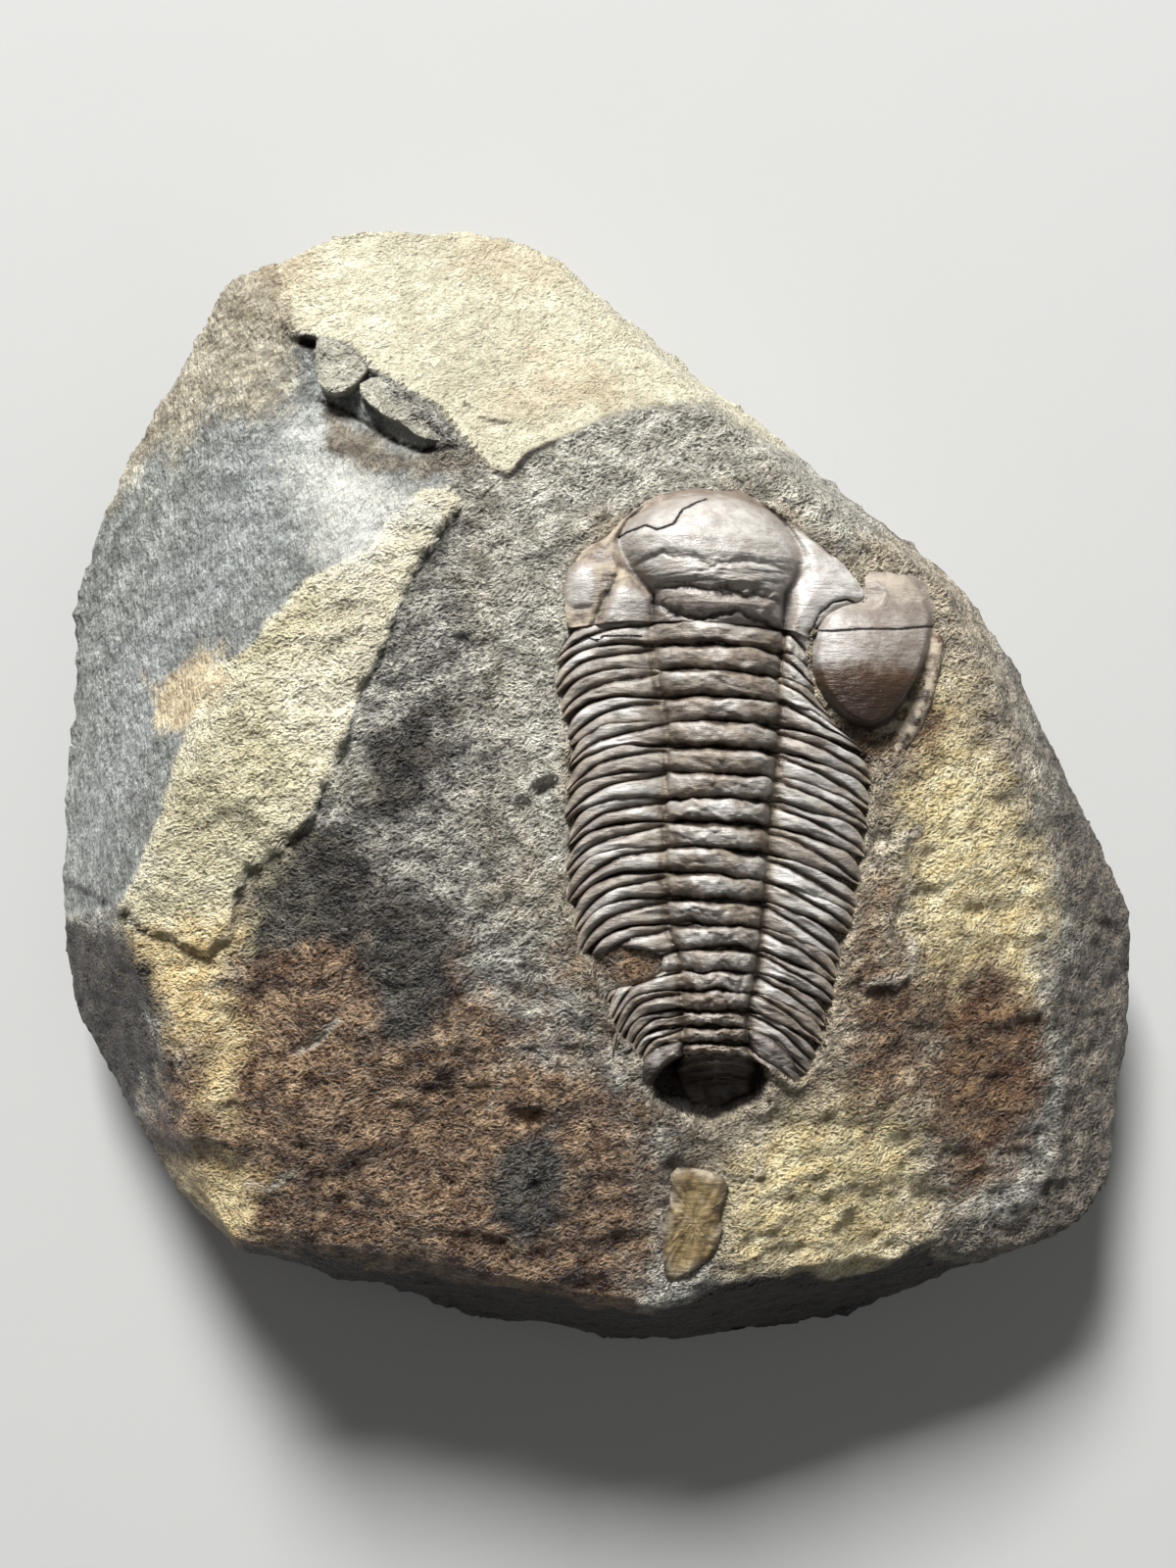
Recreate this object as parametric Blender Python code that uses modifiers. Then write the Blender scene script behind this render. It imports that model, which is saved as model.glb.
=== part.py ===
"""Trilobite fossil on its broken block of matrix rock.

Four solids: the rock, the trilobite, its loose free cheek and a fragment of shell.
The block lies on its flat back, fossil side up. +Y runs from the tail to the head, +Z is up,
and the origin is the middle of the base. Shapes are worked out in millimetres.
"""

import math

import bmesh
import bpy
from mathutils import Matrix, Vector, noise

MM = 0.001
GAP = 0.3                  # clearance kept between the rock and each fossil, mm

# The crowned front face: its height above the base and how it falls off, mm
CROWN_HEIGHT = 44.5
CROWN_RIGHT_START, CROWN_RIGHT_FALL = 3.0, 0.0036
CROWN_LEFT_START, CROWN_LEFT_FALL = -20.0, 0.0040
CROWN_HEAD_FALL, CROWN_TAIL_FALL = 0.0026, 0.0020

# The widest outline of the block, seen from above: x, y and height of each corner, mm
RIM = [
    (-54.0, 73.6, 18), (-44.2, 78.0, 18), (-37.8, 81.4, 17), (-29.8, 82.4, 16), (-18.4, 82.0, 16),
    (-7.6, 78.6, 18), (-0.7, 70.1, 22), (13.5, 57.4, 29), (26.0, 45.2, 29), (34.3, 39.2, 29),
    (41.4, 36.5, 28), (48.8, 31.4, 27), (53.9, 27.6, 26), (61.2, 17.1, 24), (66.6, 6.4, 22),
    (71.3, -5.0, 20), (74.9, -12.3, 18), (80.3, -19.0, 15), (79.3, -27.9, 14), (78.8, -36.7, 14),
    (78.0, -46.8, 15), (76.4, -58.0, 18), (71.6, -63.7, 22), (62.9, -66.5, 24), (37.7, -79.0, 12),
    (25.1, -81.5, 13), (12.5, -83.2, 14), (2.2, -82.4, 15), (-15.3, -78.6, 15), (-25.4, -73.4, 17),
    (-37.4, -69.6, 20), (-52.2, -67.5, 22), (-61.2, -59.8, 20), (-66.1, -50.9, 17), (-76.5, -35.3, 13),
    (-78.0, -29.5, 12), (-79.4, -22.1, 12), (-79.8, -14.8, 12), (-78.6, -7.4, 12), (-76.5, 1.5, 13),
    (-75.9, 14.7, 14), (-76.1, 29.3, 14), (-74.3, 37.4, 14), (-68.0, 46.8, 15), (-61.9, 61.2, 16),
]
# The edge of the crowned front face; heights come from the crown
FACE_EDGE = [
    (-18.3, 47.2), (-1.4, 50.2), (15.7, 52.4), (25.1, 43.5), (33.3, 36.7), (48.7, 27.4), (55.8, 15.2),
    (61.7, -6.9), (63.3, -18.1), (59.3, -39.1), (55.4, -56.1), (47.6, -64.7), (34.0, -67.5),
    (8.3, -73.3), (-14.4, -68.3), (-35.7, -64.9), (-50.4, -64.2), (-53.7, -59.9), (-55.0, -46.0),
    (-54.3, -35.3), (-52.7, -25.7), (-65.9, -18.3), (-59.4, -6.7), (-49.1, 13.4), (-41.0, 24.2),
    (-23.6, 37.7),
]
BASE_INSET = 0.86          # the flat back, as a share of the rim's size
UNDERCUT = 1.0             # the hull runs this far below the back before it is cut flat

# The pale bedding plane at the top: where it starts and how steeply it falls toward +Y
BED_START_Y, BED_START_Z, BED_FALL = 43.4, 40.0, 0.62
# Its broken lower edge, as x, y
BED_EDGE = [
    (-60.0, 80.0), (-44.0, 73.0), (-42.5, 66.0), (-38.7, 64.1), (-30.9, 58.7), (-27.7, 58.2),
    (-17.7, 48.0), (-10.2, 43.3), (-5.4, 48.5), (5.5, 52.2), (16.4, 52.5), (24.0, 47.0), (80.0, 46.0),
]
# The right edge of the raised layer left of the fossil, as y, x
LAYER_EDGE = [
    (-28.0, -53.0), (-25.0, -51.7), (-16.8, -47.7), (-9.1, -42.9), (-7.4, -39.5), (3.3, -33.4),
    (16.0, -27.4), (26.8, -22.1), (38.8, -16.9), (43.3, -10.2),
]
LAYER_STEP = 1.4           # height of that raised layer
LAYER_END_Y = -26.0
# The smooth slope's left boundary line with the layer, as y, x
SLOPE_EDGE = [(-18.3, -66.0), (-6.7, -59.4), (13.4, -49.1), (24.2, -41.0), (37.7, -23.6), (43.0, -14.0)]
SCOOP_DEPTH, SCOOP_REACH = 3.4, 15.0     # hollow under the ledge of the bedding plane
# Chips that broke off the ledge: middle, length, width and thickness, and turn in degrees
CHIPS = [((-35.2, 59.0, 29.8), (8.5, 6.0, 3.4), -38.0), ((-25.6, 53.3, 33.2), (17.0, 5.4, 3.2), -34.0)]

# The trilobite, mm. One row per station along its axis: y, then the x of the left edge, the left and
# right furrows beside the axial lobe and the right edge, how far back the left and right rib tips
# lie, and the height of the lobe and of the ribs above the front face
STATIONS = [
    (40.9, 14.4, 15.2, 19.3, 19.9, 0.0, 0.0, 0.7, 0.4), (39.5, 9.0, 10.1, 22.3, 23.4, 0.0, 0.0, 2.6, 0.6),
    (38.1, 6.4, 7.5, 24.6, 25.5, 0.0, 0.0, 4.6, 0.7), (35.6, 3.7, 4.7, 27.2, 28.8, 0.0, 0.0, 6.4, 0.8),
    (33.2, 1.4, 3.6, 28.5, 32.1, 0.0, 0.0, 7.6, 1.4), (31.2, -1.8, 4.0, 29.0, 34.6, 0.0, 0.0, 7.7, 2.0),
    (28.6, -3.8, 5.6, 28.2, 37.0, 0.0, 0.0, 7.0, 2.6), (26.3, -4.3, 8.1, 26.9, 38.2, 0.0, 0.0, 5.4, 2.7),
    (24.3, -4.3, 8.3, 26.5, 34.4, 0.2, 0.3, 6.3, 2.7), (22.1, -3.8, 8.2, 26.2, 30.2, 1.4, 1.5, 5.6, 2.4),
    (19.0, -5.5, 8.3, 25.8, 29.9, 3.0, 2.2, 6.0, 2.6), (15.2, -5.6, 8.8, 25.3, 30.8, 4.4, 2.6, 6.0, 2.8),
    (11.5, -4.5, 9.4, 25.4, 34.5, 3.9, 4.1, 5.9, 2.9), (7.8, -3.8, 10.1, 25.3, 38.8, 3.8, 4.5, 5.8, 3.0),
    (-2.2, -4.3, 9.9, 24.3, 38.4, 4.3, 4.6, 5.6, 3.0), (-12.2, -3.9, 9.9, 23.4, 36.5, 5.2, 5.1, 5.2, 2.8),
    (-18.8, -2.0, 10.2, 23.0, 34.6, 5.4, 5.2, 4.8, 2.6), (-25.2, 0.9, 12.0, 22.3, 33.6, 6.2, 5.2, 4.3, 2.4),
    (-30.9, 2.9, 12.2, 21.1, 32.0, 6.4, 5.3, 3.8, 2.2), (-35.9, 6.0, 12.5, 21.0, 29.4, 6.3, 5.1, 3.2, 1.9),
    (-37.3, 7.1, 12.7, 21.4, 28.0, 5.4, 4.5, 2.6, 1.7),
]
LEFT_CURVE, RIGHT_CURVE = 2.4, 1.3       # how late the ribs on each side turn back
RING_TILT = 0.05           # the rings lie a little lower on the right
SEGMENTS = 19
ROWS_PER_SEGMENT = 6
HEAD_STATIONS = 10         # the first stations above are the head
THORAX_FRONT = 22.1
WIDE_SEGMENTS, WIDE_PITCH = 12, 3.44
NARROW_PITCHES = (3.25, 1.92)            # first and last pitch of the segments behind those
RING_GROOVE, RIB_GROOVE, RIB_FURROW = 0.9, 0.7, 0.45
TIP_NOTCH = 0.07           # share of the reach that the gaps between rib tips cut back
LOBE_COLUMNS = (0.0, 0.45, 0.85)          # lateral places on the axial lobe, as a share of its width
RIB_COLUMNS = (0.0, 0.16, 0.45, 0.8, 1.0)   # and on the ribs
SHELL_DEPTH = 1.5          # how deep each fossil sits in the rock

# The hollow at the tail, and the tail plate in it: centre and half-sizes
TAIL_PIT_AT, TAIL_PIT = (16.6, -40.9, 0.5), (7.4, 5.3, 4.8)
TAIL_PLATE_AT, TAIL_PLATE = (16.6, -40.7, -1.4), (4.9, 4.2, 1.3)

# The loose free cheek: its outline with the stump of its spine, and its dome
CHEEK_OUTLINE = [
    (29.9, 19.5), (30.1, 14.7), (32.1, 10.7), (35.3, 7.4), (38.0, 4.6), (40.4, 2.3), (43.2, 3.4),
    (46.1, 8.1), (48.3, 13.6), (49.2, 19.1), (48.9, 23.9), (48.1, 27.3), (45.0, 28.9), (41.2, 29.2),
    (38.6, 27.1), (38.0, 25.2), (34.6, 25.6), (31.6, 23.9),
]
CHEEK_TOP, CHEEK_HEIGHT = (38.6, 18.4), 4.6
# The shell fragment at the bottom edge
FRAGMENT_OUTLINE = [
    (11.5, -52.8), (15.6, -52.4), (19.4, -55.0), (18.1, -58.6), (18.0, -63.2), (18.6, -66.0),
    (15.1, -68.4), (12.0, -70.2), (10.3, -67.1), (10.7, -59.9),
]
FRAGMENT_TOP, FRAGMENT_HEIGHT = (14.6, -61.0), 1.3

FACE_ROUGHNESS, SIDE_ROUGHNESS = 0.7, 0.9
ROCK_VOXEL = 2.0
ROCK_TRIANGLES = 4200
NOISE_SEED = Vector((3.1, 7.7, 1.9))


def clamp(value, low, high):
    return max(low, min(high, value))


def smooth(value, low, high):
    """A soft step from 0 at low to 1 at high."""
    t = clamp((value - low) / (high - low), 0.0, 1.0)
    return t * t * (3.0 - 2.0 * t)


def along(table, value, column=1):
    """Read a column of a table, in straight runs between rows that rise in their first column."""
    if value <= table[0][0]:
        return table[0][column]
    for before, after in zip(table, table[1:]):
        if value <= after[0]:
            t = (value - before[0]) / (after[0] - before[0])
            return before[column] + t * (after[column] - before[column])
    return table[-1][column]


def crown(x, y):
    """Height of the front face."""
    z = CROWN_HEIGHT
    z -= CROWN_RIGHT_FALL * max(0.0, x - CROWN_RIGHT_START) ** 2
    z -= CROWN_LEFT_FALL * max(0.0, CROWN_LEFT_START - x) ** 2
    return z - (CROWN_HEAD_FALL if y > 0.0 else CROWN_TAIL_FALL) * y * y


def inside(x, y, outline):
    """Whether a point lies inside a closed outline."""
    hit = False
    for (x1, y1), (x2, y2) in zip(outline, outline[1:] + outline[:1]):
        if (y1 > y) != (y2 > y) and x < x1 + (y - y1) * (x2 - x1) / (y2 - y1):
            hit = not hit
    return hit


def material(name, color, roughness):
    """A Principled material."""
    made = bpy.data.materials.new(name)
    made.use_nodes = True
    shader = made.node_tree.nodes["Principled BSDF"]
    shader.inputs["Base Color"].default_value = (*color, 1.0)
    shader.inputs["Roughness"].default_value = roughness
    shader.inputs["Metallic"].default_value = 0.0
    return made


def new_object(name, bm, collection, look=None):
    """Turn a bmesh in millimetres into an object in metres."""
    bmesh.ops.recalc_face_normals(bm, faces=bm.faces)
    bmesh.ops.scale(bm, vec=(MM, MM, MM), verts=bm.verts)
    mesh = bpy.data.meshes.new(name)
    bm.to_mesh(mesh)
    bm.free()
    obj = bpy.data.objects.new(name, mesh)
    collection.objects.link(obj)
    if look:
        mesh.materials.append(look)
    return obj


def cutter(name, bm, collection):
    """An object that only cuts others."""
    obj = new_object(name, bm, collection)
    obj.hide_render = True
    obj.display_type = "WIRE"
    return obj


def combine(obj, other, operation):
    """Add an exact Boolean with another object."""
    step = obj.modifiers.new(operation.lower() + "_" + other.name, "BOOLEAN")
    step.operation = operation
    step.solver = "EXACT"
    step.object = other


def bake(obj):
    """Apply every modifier on an object."""
    graph = bpy.context.evaluated_depsgraph_get()
    mesh = bpy.data.meshes.new_from_object(obj.evaluated_get(graph))
    obj.modifiers.clear()
    obj.data = mesh


def loft(rings):
    """A closed solid through rings with the same number of points, capped at both ends."""
    bm = bmesh.new()
    rows = [[bm.verts.new(point) for point in ring] for ring in rings]
    for row, following in zip(rows, rows[1:]):
        for i in range(len(row)):
            j = (i + 1) % len(row)
            bm.faces.new((row[i], row[j], following[j], following[i]))
    bm.faces.new(list(reversed(rows[0])))
    bm.faces.new(rows[-1])
    return bm


def ellipsoid(center, radii):
    """A closed ellipsoid with its height given above the front face."""
    bm = bmesh.new()
    bmesh.ops.create_uvsphere(bm, u_segments=16, v_segments=10, radius=1.0)
    bmesh.ops.scale(bm, vec=radii, verts=bm.verts)
    x, y, above = center
    bmesh.ops.translate(bm, vec=(x, y, crown(x, y) + above), verts=bm.verts)
    return bm


def rock_corners():
    """Corners of the block: rim, flat back, and the crowned face with a grid of points on it."""
    corners = list(RIM)
    corners += [(x * BASE_INSET, y * BASE_INSET, -UNDERCUT) for x, y, _ in RIM]
    corners += [(x, y, crown(x, y)) for x, y in FACE_EDGE]
    step = 12
    for x in range(-60, 61, step):
        for y in range(-72, 61, step):
            if inside(x, y, FACE_EDGE):
                corners.append((x, y, crown(x, y)))
    return corners


def chip(middle, size, turn):
    """A tilted flake with a narrower top."""
    bm = bmesh.new()
    bmesh.ops.create_cube(bm, size=1.0)
    for vertex in bm.verts:
        if vertex.co.z > 0.0:
            vertex.co.xy *= 0.78
    bmesh.ops.scale(bm, vec=size, verts=bm.verts)
    fall = Matrix.Rotation(-math.atan(BED_FALL), 4, "X")
    lie = Matrix.Translation(middle) @ fall @ Matrix.Rotation(math.radians(turn), 4, "Z")
    bmesh.ops.transform(bm, matrix=lie, verts=bm.verts)
    return bm


def bedding_plane(y):
    return BED_START_Z - BED_FALL * (y - BED_START_Y)


def relief(x, y, z):
    """Ledges, steps and roughness of the upper surface, as a change of height."""
    place = Vector((x, y, z)) * 0.09 + NOISE_SEED
    rough = FACE_ROUGHNESS * noise.fractal(place, 0.8, 2.1, 5)
    on_bed = smooth(y - along(BED_EDGE, x), -0.6, 0.6)
    bed_change = min(0.0, bedding_plane(y) - z) + 0.25 * rough
    layer = smooth(along(LAYER_EDGE, y) - x, -0.8, 0.8) * smooth(y, LAYER_END_Y - 3.0, LAYER_END_Y)
    layer *= 1.0 - smooth(along(SLOPE_EDGE, y) - x, 2.0, 14.0)
    slope = smooth(along(SLOPE_EDGE, y) - x, -3.0, 3.0)
    under_ledge = max(0.0, along(BED_EDGE, x) - y)
    scoop = slope * SCOOP_DEPTH * math.exp(-(under_ledge / SCOOP_REACH) ** 2)
    face_change = LAYER_STEP * layer - scoop + rough * (1.0 - 0.5 * slope)
    return on_bed * bed_change + (1.0 - on_bed) * face_change


def shape_surface(obj):
    """Move the upper surface by its relief and roughen the sides."""
    mesh = obj.data
    for vertex in mesh.vertices:
        x, y, z = vertex.co / MM
        facing_up = smooth(vertex.normal.z, 0.15, 0.45)
        above_base = smooth(z, 1.0, 5.0)
        place = Vector((x, y, z)) * 0.08 - NOISE_SEED
        side = SIDE_ROUGHNESS * noise.fractal(place, 0.7, 2.0, 4) * (1.0 - facing_up) * above_base
        vertex.co += vertex.normal * side * MM
        vertex.co.z += facing_up * relief(x, y, z) * MM
    mesh.update()


def flatten_back(obj):
    """Cut the underside to the flat plane that the block rests on."""
    bm = bmesh.new()
    bm.from_mesh(obj.data)
    whole = list(bm.verts) + list(bm.edges) + list(bm.faces)
    bmesh.ops.bisect_plane(bm, geom=whole, plane_co=(0, 0, 0), plane_no=(0, 0, 1), clear_inner=True)
    rim = [edge for edge in bm.edges if edge.is_boundary]
    bmesh.ops.contextual_create(bm, geom=rim)
    bmesh.ops.recalc_face_normals(bm, faces=bm.faces)
    bm.to_mesh(obj.data)
    bm.free()


def build_rock(parts, cutters):
    """The block: a hull of its corners, evened out, given its relief and cut flat."""
    bm = bmesh.new()
    for corner in rock_corners():
        bm.verts.new(corner)
    hull = bmesh.ops.convex_hull(bm, input=bm.verts)
    spare = {item for item in hull["geom_interior"] + hull["geom_unused"]}
    loose = [item for item in spare if isinstance(item, bmesh.types.BMVert)]
    bmesh.ops.delete(bm, geom=loose, context="VERTS")
    rock = new_object("matrix_rock", bm, parts, material("matrix_rock", (0.17, 0.14, 0.10), 0.85))
    notch = ellipsoid((56.5, -77.5, -20.0), (10.5, 11.0, 22.0))
    combine(rock, cutter("edge_notch", notch, cutters), "DIFFERENCE")
    grid = rock.modifiers.new("even_faces", "REMESH")
    grid.mode = "VOXEL"
    grid.voxel_size = ROCK_VOXEL * MM
    bake(rock)
    shape_surface(rock)
    thin = rock.modifiers.new("fewer_faces", "DECIMATE")
    thin.ratio = ROCK_TRIANGLES / (2.0 * len(rock.data.polygons))
    bake(rock)
    flatten_back(rock)
    for number, (middle, size, turn) in enumerate(CHIPS, 1):
        flake = cutter(f"ledge_chip_{number}", chip(middle, size, turn), cutters)
        combine(rock, flake, "UNION")
    return rock


def station(y):
    """Edges, furrows, tip drops and heights of the body at one place along its axis."""
    rising = STATIONS[::-1]
    return [along(rising, y, column) for column in range(1, 9)]


def segment_pitch(number):
    """Length of one thorax segment along the axis, counted from 0 at the head."""
    if number < WIDE_SEGMENTS:
        return WIDE_PITCH
    first, last = NARROW_PITCHES
    return first + (last - first) * (number - WIDE_SEGMENTS) / (SEGMENTS - 1 - WIDE_SEGMENTS)


def segment_starts():
    """Where each segment begins on the axis, and where the last one ends."""
    starts = [THORAX_FRONT]
    for number in range(SEGMENTS):
        starts.append(starts[-1] - segment_pitch(number))
    return starts


def lateral_places():
    """Places across the body: -2 and 2 are the rib tips, -1 to 1 is the axial lobe."""
    right = [share for share in LOBE_COLUMNS] + [1.0 + share for share in RIB_COLUMNS]
    left = [-place for place in reversed(right) if place > 0.0]
    return left + right


def groove(phase, center, width):
    """A V-shaped groove, 1 deep at its centre."""
    away = abs((phase - center + 0.5) % 1.0 - 0.5)
    return max(0.0, 1.0 - away / width)


def body_height(place, phase, lobe, rib):
    """Height of the shell above the front face; phase is None on the head."""
    across = abs(place)
    furrow = 0.55 * rib
    if across <= 1.0:
        height = furrow + (lobe - furrow) * (1.0 - across ** 2.4)
        return height if phase is None else height - RING_GROOVE * groove(phase, 0.0, 0.3)
    out = across - 1.0
    height = furrow + (rib - furrow) * smooth(out, 0.0, 0.3)
    height = 0.2 + (height - 0.2) * (1.0 - out ** 2.6)
    if phase is None:
        return height
    fade = smooth(out, 0.0, 0.12) * (1.0 - 0.6 * out)
    cut = RIB_GROOVE * groove(phase, 0.0, 0.25) + RIB_FURROW * groove(phase, 0.5, 0.2)
    return height - fade * cut


def body_point(y, place, phase=None, grow=0.0):
    """One point on the shell's upper surface."""
    left_edge, left_furrow, right_furrow, right_edge, left_drop, right_drop, lobe, rib = station(y)
    middle, half = (left_furrow + right_furrow) / 2.0, (right_furrow - left_furrow) / 2.0
    out = clamp(abs(place) - 1.0, 0.0, 1.0)
    furrow, edge = (right_furrow, right_edge + grow) if place > 0.0 else (left_furrow, left_edge - grow)
    if phase is not None:
        edge -= (edge - furrow) * TIP_NOTCH * groove(phase, 0.0, 0.35)
    lobe_x = clamp(place, -1.0, 1.0) * half
    x = middle + lobe_x + (edge - furrow) * out
    drop = right_drop * out ** RIGHT_CURVE if place > 0.0 else left_drop * out ** LEFT_CURVE
    y_place = y - drop - RING_TILT * lobe_x
    return x, y_place, crown(x, y_place) + body_height(place, phase, lobe, rib)


def body_rows():
    """Places along the axis with the phase inside each segment, head first."""
    rows = [(y, None) for y, *_ in STATIONS[:HEAD_STATIONS - 1]]
    starts = segment_starts()
    for start, end in zip(starts, starts[1:]):
        for step in range(ROWS_PER_SEGMENT):
            phase = step / ROWS_PER_SEGMENT
            rows.append((start + (end - start) * phase, phase))
    rows.append((starts[-1], 0.0))
    return rows


def body_section(y, phase):
    """A closed ring across the body: the upper surface and the two corners below its margins."""
    ring = [body_point(y, place, phase) for place in lateral_places()]
    for x, y_place, _ in (ring[-1], ring[0]):
        ring.append((x, y_place, crown(x, y_place) - SHELL_DEPTH))
    return ring


def body_space():
    """The space the trilobite needs in the rock: its outline grown by the gap, with no relief."""
    rings = []
    above, below = 12.0, SHELL_DEPTH + GAP
    first = STATIONS[0][0] + GAP
    last = STATIONS[-1][0] - 2.0 * GAP       # the slanted rear of the last tips needs twice the gap
    between = {y for y, *_ in STATIONS[1:-1]} | set(segment_starts()[:-1])
    for y in [first, *sorted(between, reverse=True), last]:
        edges = [body_point(y, place, None, GAP) for place in (-2.0, -1.6, -1.0, 1.0, 1.6, 2.0)]
        ring = [(x, y_place, crown(x, y_place) + above) for x, y_place, _ in edges]
        for x, y_place, _ in (edges[-1], edges[0]):
            ring.append((x, y_place, crown(x, y_place) - below))
        rings.append(ring)
    return loft(rings)


def build_trilobite(parts, cutters):
    """Head, nineteen segments and tail plate as one solid."""
    bm = loft([body_section(y, phase) for y, phase in body_rows()])
    look = material("trilobite_shell", (0.10, 0.08, 0.065), 0.38)
    body = new_object("trilobite", bm, parts, look)
    plate = cutter("tail_plate", ellipsoid(TAIL_PLATE_AT, TAIL_PLATE), cutters)
    combine(body, plate, "UNION")
    bake(body)
    return body


def domed_plate(outline, top, height, steps):
    """A plate with a rounded back: rings that shrink toward its top."""
    floor = min(crown(x, y) for x, y in outline) - SHELL_DEPTH
    rings = [[(x, y, floor) for x, y in outline]]
    for share in steps:
        ring = []
        for x, y in outline:
            px = top[0] + (x - top[0]) * share
            py = top[1] + (y - top[1]) * share
            ring.append((px, py, crown(px, py) + 0.3 + (height - 0.3) * (1.0 - share ** 2.2)))
        rings.append(ring)
    return loft(rings)


def plate_space(outline, top):
    """The space a plate needs in the rock: its outline grown by the gap."""
    grown = []
    for x, y in outline:
        arm = Vector((x - top[0], y - top[1]))
        arm *= 1.0 + 1.4 * GAP / arm.length
        grown.append((top[0] + arm.x, top[1] + arm.y))
    floor = min(crown(x, y) for x, y in outline) - SHELL_DEPTH - GAP
    ceiling = CROWN_HEIGHT + 8.0
    return loft([[(x, y, floor) for x, y in grown], [(x, y, ceiling) for x, y in grown]])


def build_plates(parts):
    """The free cheek and the shell fragment."""
    shares = (1.0, 0.93, 0.78, 0.56, 0.3, 0.08)
    cheek = new_object("free_cheek", domed_plate(CHEEK_OUTLINE, CHEEK_TOP, CHEEK_HEIGHT, shares),
                       parts, material("free_cheek_shell", (0.11, 0.09, 0.075), 0.35))
    shares = (1.0, 0.85, 0.45)
    plate = domed_plate(FRAGMENT_OUTLINE, FRAGMENT_TOP, FRAGMENT_HEIGHT, shares)
    fragment = new_object("shell_fragment", plate, parts,
                          material("fragment_shell", (0.16, 0.14, 0.07), 0.5))
    return cheek, fragment


def new_collection(name):
    made = bpy.data.collections.new(name)
    bpy.context.scene.collection.children.link(made)
    return made


def main():
    for obj in list(bpy.data.objects):
        bpy.data.objects.remove(obj)
    parts = new_collection("trilobite_fossil")
    cutters = new_collection("cutters")
    rock = build_rock(parts, cutters)
    build_trilobite(parts, cutters)
    cheek, _ = build_plates(parts)
    pocket = cutter("trilobite_space", body_space(), cutters)
    combine(cheek, pocket, "DIFFERENCE")
    spaces = [
        pocket,
        cutter("cheek_space", plate_space(CHEEK_OUTLINE, CHEEK_TOP), cutters),
        cutter("fragment_space", plate_space(FRAGMENT_OUTLINE, FRAGMENT_TOP), cutters),
        cutter("tail_pit", ellipsoid(TAIL_PIT_AT, TAIL_PIT), cutters),
    ]
    for space in spaces:
        combine(rock, space, "DIFFERENCE")


main()
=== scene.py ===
"""Dresses the trilobite specimen: matrix rock, shell, loose cheek and scrap of shell, in soft light.

Shapes are worked out in millimetres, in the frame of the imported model, and made in metres.
"""
import itertools
import logging
from dataclasses import dataclass, field
from enum import Enum
from typing import Callable

import bmesh
import bpy
import numpy as np
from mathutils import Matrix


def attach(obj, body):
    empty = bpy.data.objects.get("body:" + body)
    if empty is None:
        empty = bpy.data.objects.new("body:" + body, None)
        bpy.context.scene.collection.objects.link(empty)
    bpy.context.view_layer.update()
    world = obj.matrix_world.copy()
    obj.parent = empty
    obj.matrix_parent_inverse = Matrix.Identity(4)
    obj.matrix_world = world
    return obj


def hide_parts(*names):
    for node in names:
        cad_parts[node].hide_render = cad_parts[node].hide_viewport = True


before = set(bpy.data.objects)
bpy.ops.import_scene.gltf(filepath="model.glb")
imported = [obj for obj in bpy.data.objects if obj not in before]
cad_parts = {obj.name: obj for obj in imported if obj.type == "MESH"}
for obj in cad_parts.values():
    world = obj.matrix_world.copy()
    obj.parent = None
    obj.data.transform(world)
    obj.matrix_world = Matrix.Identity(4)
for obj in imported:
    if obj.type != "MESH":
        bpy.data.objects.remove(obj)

LOG = logging.getLogger("specimen")
MM = 0.001
BODY = "root"
EDGE_SPACING = 0.3  # between the points round a small plate
FAR_OUT = -20.0  # stands for a place that a tone doesn't reach
NO_CRACK = 9.0  # stands for shell without a crack

Array = np.ndarray
Color = tuple[float, float, float]
Outline = tuple[tuple[float, float], ...]


# Shapes in numbers

def path(*numbers: float) -> Outline:
    """Corners of a line or an outline, given as x and y in turn."""
    return tuple(zip(map(float, numbers[::2]), map(float, numbers[1::2])))


def on_plan(x: Array, y: Array) -> Array:
    """Places in plan as rows of three numbers, as the noises take them."""
    return np.column_stack((x, y, np.zeros_like(x)))


def smoothstep(low: float, high: float, value: Array) -> Array:
    """A soft step from 0 at low to 1 at high."""
    share = np.clip((value - low) / (high - low), 0.0, 1.0)
    return share * share * (3.0 - 2.0 * share)


def bump(distance: Array, width: float) -> Array:
    """A rounded ridge, 1 high on a line and about twice its width across."""
    return np.exp(-(distance / width) ** 2)


def lattice_noise(points: Array, seed: int) -> Array:
    """Smooth noise from -1 to 1 on a lattice of unit cells.

    Args:
        points: places as rows of three numbers.
        seed: chooses the pattern.

    Returns:
        One value for each place.
    """
    cell = np.floor(points).astype(np.int64)
    share = points - cell
    share = share * share * (3.0 - 2.0 * share)
    total = np.zeros(len(points))
    for corner in itertools.product((0, 1), repeat=3):
        at = cell + np.array(corner)
        key = (at[:, 0] * 73856093) ^ (at[:, 1] * 19349663) ^ (at[:, 2] * 83492791) ^ (seed * 2654435)
        key = (key ^ (key >> 13)) * 1274126177
        value = ((key ^ (key >> 16)) & 0xFFFF) / 32767.5 - 1.0
        total += value * np.prod(np.where(corner, share, 1.0 - share), axis=1)
    return total


def fractal(points: Array, octaves: int = 4, gain: float = 0.5, seed: int = 0) -> Array:
    """Noise summed over finer and finer lattices."""
    return sum(gain ** n * lattice_noise(points * 2.03 ** n + 17.3 * n, seed + n) for n in range(octaves))


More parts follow.
